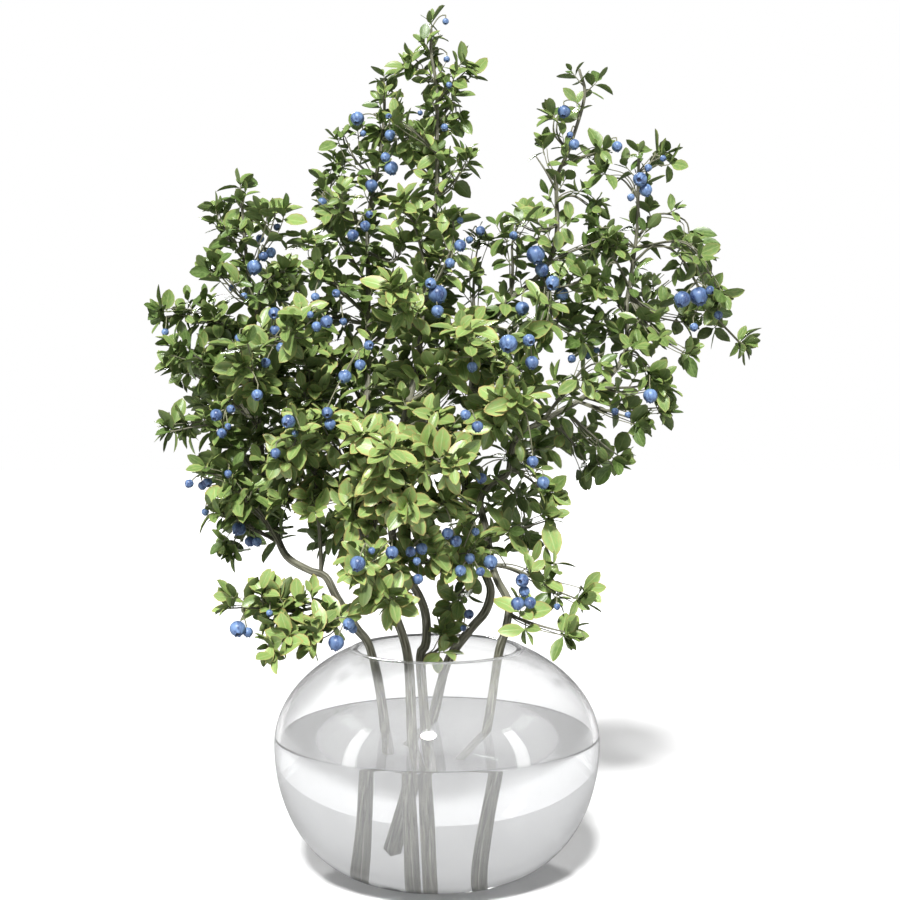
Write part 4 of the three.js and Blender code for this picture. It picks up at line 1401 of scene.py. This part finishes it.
class StudioSettings(bpy.types.PropertyGroup):
    """Floor, lights and camera."""

    floor_colour: FloatVectorProperty(
        name="Floor", description="Pale floor", subtype="COLOR", default=(0.92, 0.92, 0.92)
    )
    floor_bounce: FloatProperty(
        name="Floor bounce",
        description="Share of its light that the floor throws up",
        subtype="FACTOR",
        default=0.4,
    )
    sky_strength: FloatProperty(
        name="Surround",
        description="Light of the surround on the object",
        default=0.20,
    )
    seen_through: FloatProperty(
        name="Seen through", description="Brightness of the surround behind glass", default=0.88
    )
    key_power: FloatProperty(name="Key light", description="Strength of the main soft light", default=5.6)
    back_power: FloatProperty(
        name="Back light",
        description="Strength of the light from behind",
        default=1.5,
    )
    key_tilt: FloatProperty(
        name="Key tilt",
        description="Main light from overhead to the front",
        subtype="ANGLE",
        default=math.radians(44),
    )
    key_turn: FloatProperty(
        name="Key turn",
        description="Main light about the upright",
        subtype="ANGLE",
        default=math.radians(-7),
    )
    back_tilt: FloatProperty(
        name="Back tilt",
        description="Back light from overhead, negative to the back",
        subtype="ANGLE",
        default=math.radians(-58),
    )
    back_turn: FloatProperty(
        name="Back turn",
        description="Back light about the upright",
        subtype="ANGLE",
        default=math.radians(12),
    )
    key_size: FloatProperty(
        name="Key size",
        description="How broad the key and back lights are",
        subtype="ANGLE",
        default=math.radians(9),
    )
    panel_width: FloatProperty(
        name="Panel width", description="Width of the tall panels", unit="LENGTH", default=0.3
    )
    panel_power: FloatProperty(
        name="Panel power",
        description="Power of each panel",
        unit="POWER",
        default=7.0,
    )
    camera_distance: FloatProperty(
        name="Camera distance", description="Camera to vase axis", unit="LENGTH", default=1.44
    )
    camera_height: FloatProperty(
        name="Camera height", description="Camera above the ground", unit="LENGTH", default=0.4626
    )
    camera_shift: FloatProperty(
        name="Camera to the right", description="Camera off the vase axis", unit="LENGTH", default=0.012
    )
    camera_tilt: FloatProperty(
        name="Camera tilt", description="Downward tilt", subtype="ANGLE", default=math.radians(2.8)
    )
    lens: FloatProperty(name="Lens", description="Focal length in millimetres", default=62.8)


# ---------------------------------------------------------------- operators


class BLUEBERRY_OT_stage(bpy.types.Operator):
    """Lay the pale floor and set the soft lights and the camera"""

    bl_idname = "blueberry.stage"
    bl_label = "Stage"

    def execute(self, context):
        plan = context.scene.blueberry_studio
        make_floor(plan)
        make_surround(plan)
        make_lights(plan)
        make_camera(plan)
        return {"FINISHED"}


class BLUEBERRY_OT_vase(bpy.types.Operator):
    """Blow the glass bowl vase"""

    bl_idname = "blueberry.vase"
    bl_label = "Vase"

    def execute(self, context):
        make_vase(context.scene.blueberry_vase)
        return {"FINISHED"}


class BLUEBERRY_OT_water(bpy.types.Operator):
    """Fill the vase with water"""

    bl_idname = "blueberry.water"
    bl_label = "Water"

    def execute(self, context):
        make_water(context.scene.blueberry_vase)
        return {"FINISHED"}


class BLUEBERRY_OT_wood(bpy.types.Operator):
    """Grow the stems, boughs, twigs and berry stalks"""

    bl_idname = "blueberry.wood"
    bl_label = "Wood"

    def execute(self, context):
        for name in BRANCHES:
            make_wood(name, context.scene.blueberry_plant)
        return {"FINISHED"}


class BLUEBERRY_OT_leaves(bpy.types.Operator):
    """Grow the leaves on every twig"""

    bl_idname = "blueberry.leaves"
    bl_label = "Leaves"

    def execute(self, context):
        for name in BRANCHES:
            make_leaves(name, context.scene.blueberry_plant)
        return {"FINISHED"}


class BLUEBERRY_OT_berries(bpy.types.Operator):
    """Hang the berries"""

    bl_idname = "blueberry.berries"
    bl_label = "Berries"

    def execute(self, context):
        for name in BRANCHES:
            make_berries(name, context.scene.blueberry_plant)
        return {"FINISHED"}


class BLUEBERRY_PT_panel(bpy.types.Panel):
    """Blueberry branches in a bowl vase"""

    bl_label = "Blueberry Branches"
    bl_idname = "BLUEBERRY_PT_panel"
    bl_space_type = "VIEW_3D"
    bl_region_type = "UI"
    bl_category = "Blueberry"

    def draw(self, context):
        for name in SETTINGS:
            settings = getattr(context.scene, name)
            column = self.layout.column(align=True)
            for key in settings.__annotations__:
                column.prop(settings, key)
        for operator in OPERATORS:
            self.layout.operator(operator.bl_idname)


# ---------------------------------------------------------------- stage


def make_floor(plan):
    """A wide level floor, one sheet of four corners, just under the vase.

    It is seen at its own colour and a little dimmer through the glass, and throws up a share of its light.
    """
    mesh = bpy.data.meshes.new("floor")
    corners = [(-1, -1), (1, -1), (1, 1), (-1, 1)]
    mesh.from_pydata([(FLOOR_HALF * x, FLOOR_HALF * y, 0) for x, y in corners], [], [(0, 1, 2, 3)])
    floor = bpy.data.objects.new("floor", mesh)
    floor.location.z = -FLOOR_DROP
    bpy.context.scene.collection.objects.link(floor)
    material, tree = new_material("floor")
    path = tree.nodes.new("ShaderNodeLightPath")
    thrown = tuple(plan.floor_bounce * part for part in plan.floor_colour)
    colour = blended(tree, path.outputs["Is Camera Ray"], thrown, plan.floor_colour)
    behind_glass = tuple(FLOOR_BEHIND_GLASS * part for part in plan.floor_colour)
    colour = blended(tree, path.outputs["Is Transmission Ray"], colour, behind_glass)
    shader = node(tree, "ShaderNodeBsdfPrincipled", Base_Color=colour, Roughness=0.9)
    shader.inputs["Specular IOR Level"].default_value = 0.1
    surface_out(tree, shader.outputs[0])
    mesh.materials.append(material)


def place_light(name, kind, power):
    """A light at the origin, and its settings."""
    data = bpy.data.lights.new(name, kind)
    data.energy = power
    light = bpy.data.objects.new(name, data)
    bpy.context.scene.collection.objects.link(light)
    return light, data


def make_surround(plan):
    """A white surround, seen at full brightness, a little dimmer through glass and much dimmer as light."""
    world = bpy.data.worlds.new("studio")
    bpy.context.scene.world = world
    world.use_nodes = True
    tree = world.node_tree
    tree.nodes.clear()
    path = tree.nodes.new("ShaderNodeLightPath")
    extra = plan.seen_through - plan.sky_strength
    seen = sums(tree, "MULTIPLY", path.outputs["Is Camera Ray"], 1 - plan.sky_strength)
    through = sums(tree, "MULTIPLY", path.outputs["Is Transmission Ray"], extra)
    strength = sums(tree, "ADD", sums(tree, "ADD", seen, through), plan.sky_strength)
    sky = node(tree, "ShaderNodeBackground", Color=(1, 1, 1, 1), Strength=strength)
    tree.links.new(sky.outputs[0], tree.nodes.new("ShaderNodeOutputWorld").inputs["Surface"])


def make_lights(plan):
    """A soft key light above the front, a weaker one behind, and a tall panel on each side."""
    for name, power, tilt, turn in (
        ("key", plan.key_power, plan.key_tilt, plan.key_turn),
        ("back light", plan.back_power, plan.back_tilt, plan.back_turn),
    ):
        sun, data = place_light(name, "SUN", power)
        data.angle = plan.key_size
        sun.rotation_euler = (tilt, 0, turn)
    away, front, middle = PANEL_PLACE
    for side in (-1, 1):
        panel, data = place_light("tall panel", "AREA", plan.panel_power)
        data.shape = "RECTANGLE"
        data.size = plan.panel_width
        data.size_y = PANEL_HEIGHT
        panel.location = (side * away, front, middle)
        panel.rotation_euler = (math.pi / 2, 0, side * PANEL_TURN)


def make_camera(plan):
    """The camera, in front of the vase and looking slightly down, with colours shown plainly."""
    data = bpy.data.cameras.new("camera")
    data.lens = plan.lens
    data.sensor_width = SENSOR_WIDTH
    camera = bpy.data.objects.new("camera", data)
    camera.location = (plan.camera_shift, -plan.camera_distance, plan.camera_height)
    camera.rotation_euler = (math.pi / 2 - plan.camera_tilt, 0, 0)
    bpy.context.scene.collection.objects.link(camera)
    bpy.context.scene.camera = camera
    bpy.context.scene.view_settings.view_transform = "Standard"


# ---------------------------------------------------------------- set-up

SETTINGS = {
    "blueberry_vase": VaseSettings,
    "blueberry_plant": PlantSettings,
    "blueberry_studio": StudioSettings,
}
OPERATORS = (
    BLUEBERRY_OT_stage,
    BLUEBERRY_OT_vase,
    BLUEBERRY_OT_water,
    BLUEBERRY_OT_wood,
    BLUEBERRY_OT_leaves,
    BLUEBERRY_OT_berries,
)


def register():
    """The settings, the operators and the panel are made known."""
    for name, group in SETTINGS.items():
        bpy.utils.register_class(group)
        setattr(bpy.types.Scene, name, PointerProperty(type=group))
    for operator in OPERATORS:
        bpy.utils.register_class(operator)
    bpy.utils.register_class(BLUEBERRY_PT_panel)


def unregister():
    """The panel, the operators and the settings are taken away again."""
    bpy.utils.unregister_class(BLUEBERRY_PT_panel)
    for operator in reversed(OPERATORS):
        bpy.utils.unregister_class(operator)
    for name, group in reversed(SETTINGS.items()):
        delattr(bpy.types.Scene, name)
        bpy.utils.unregister_class(group)


def main():
    """The stage and then every piece."""
    register()
    bpy.ops.blueberry.stage()
    bpy.ops.blueberry.vase()
    bpy.ops.blueberry.water()
    bpy.ops.blueberry.wood()
    bpy.ops.blueberry.leaves()
    bpy.ops.blueberry.berries()
    bpy.context.view_layer.update()


if __name__ == "__main__":
    main()
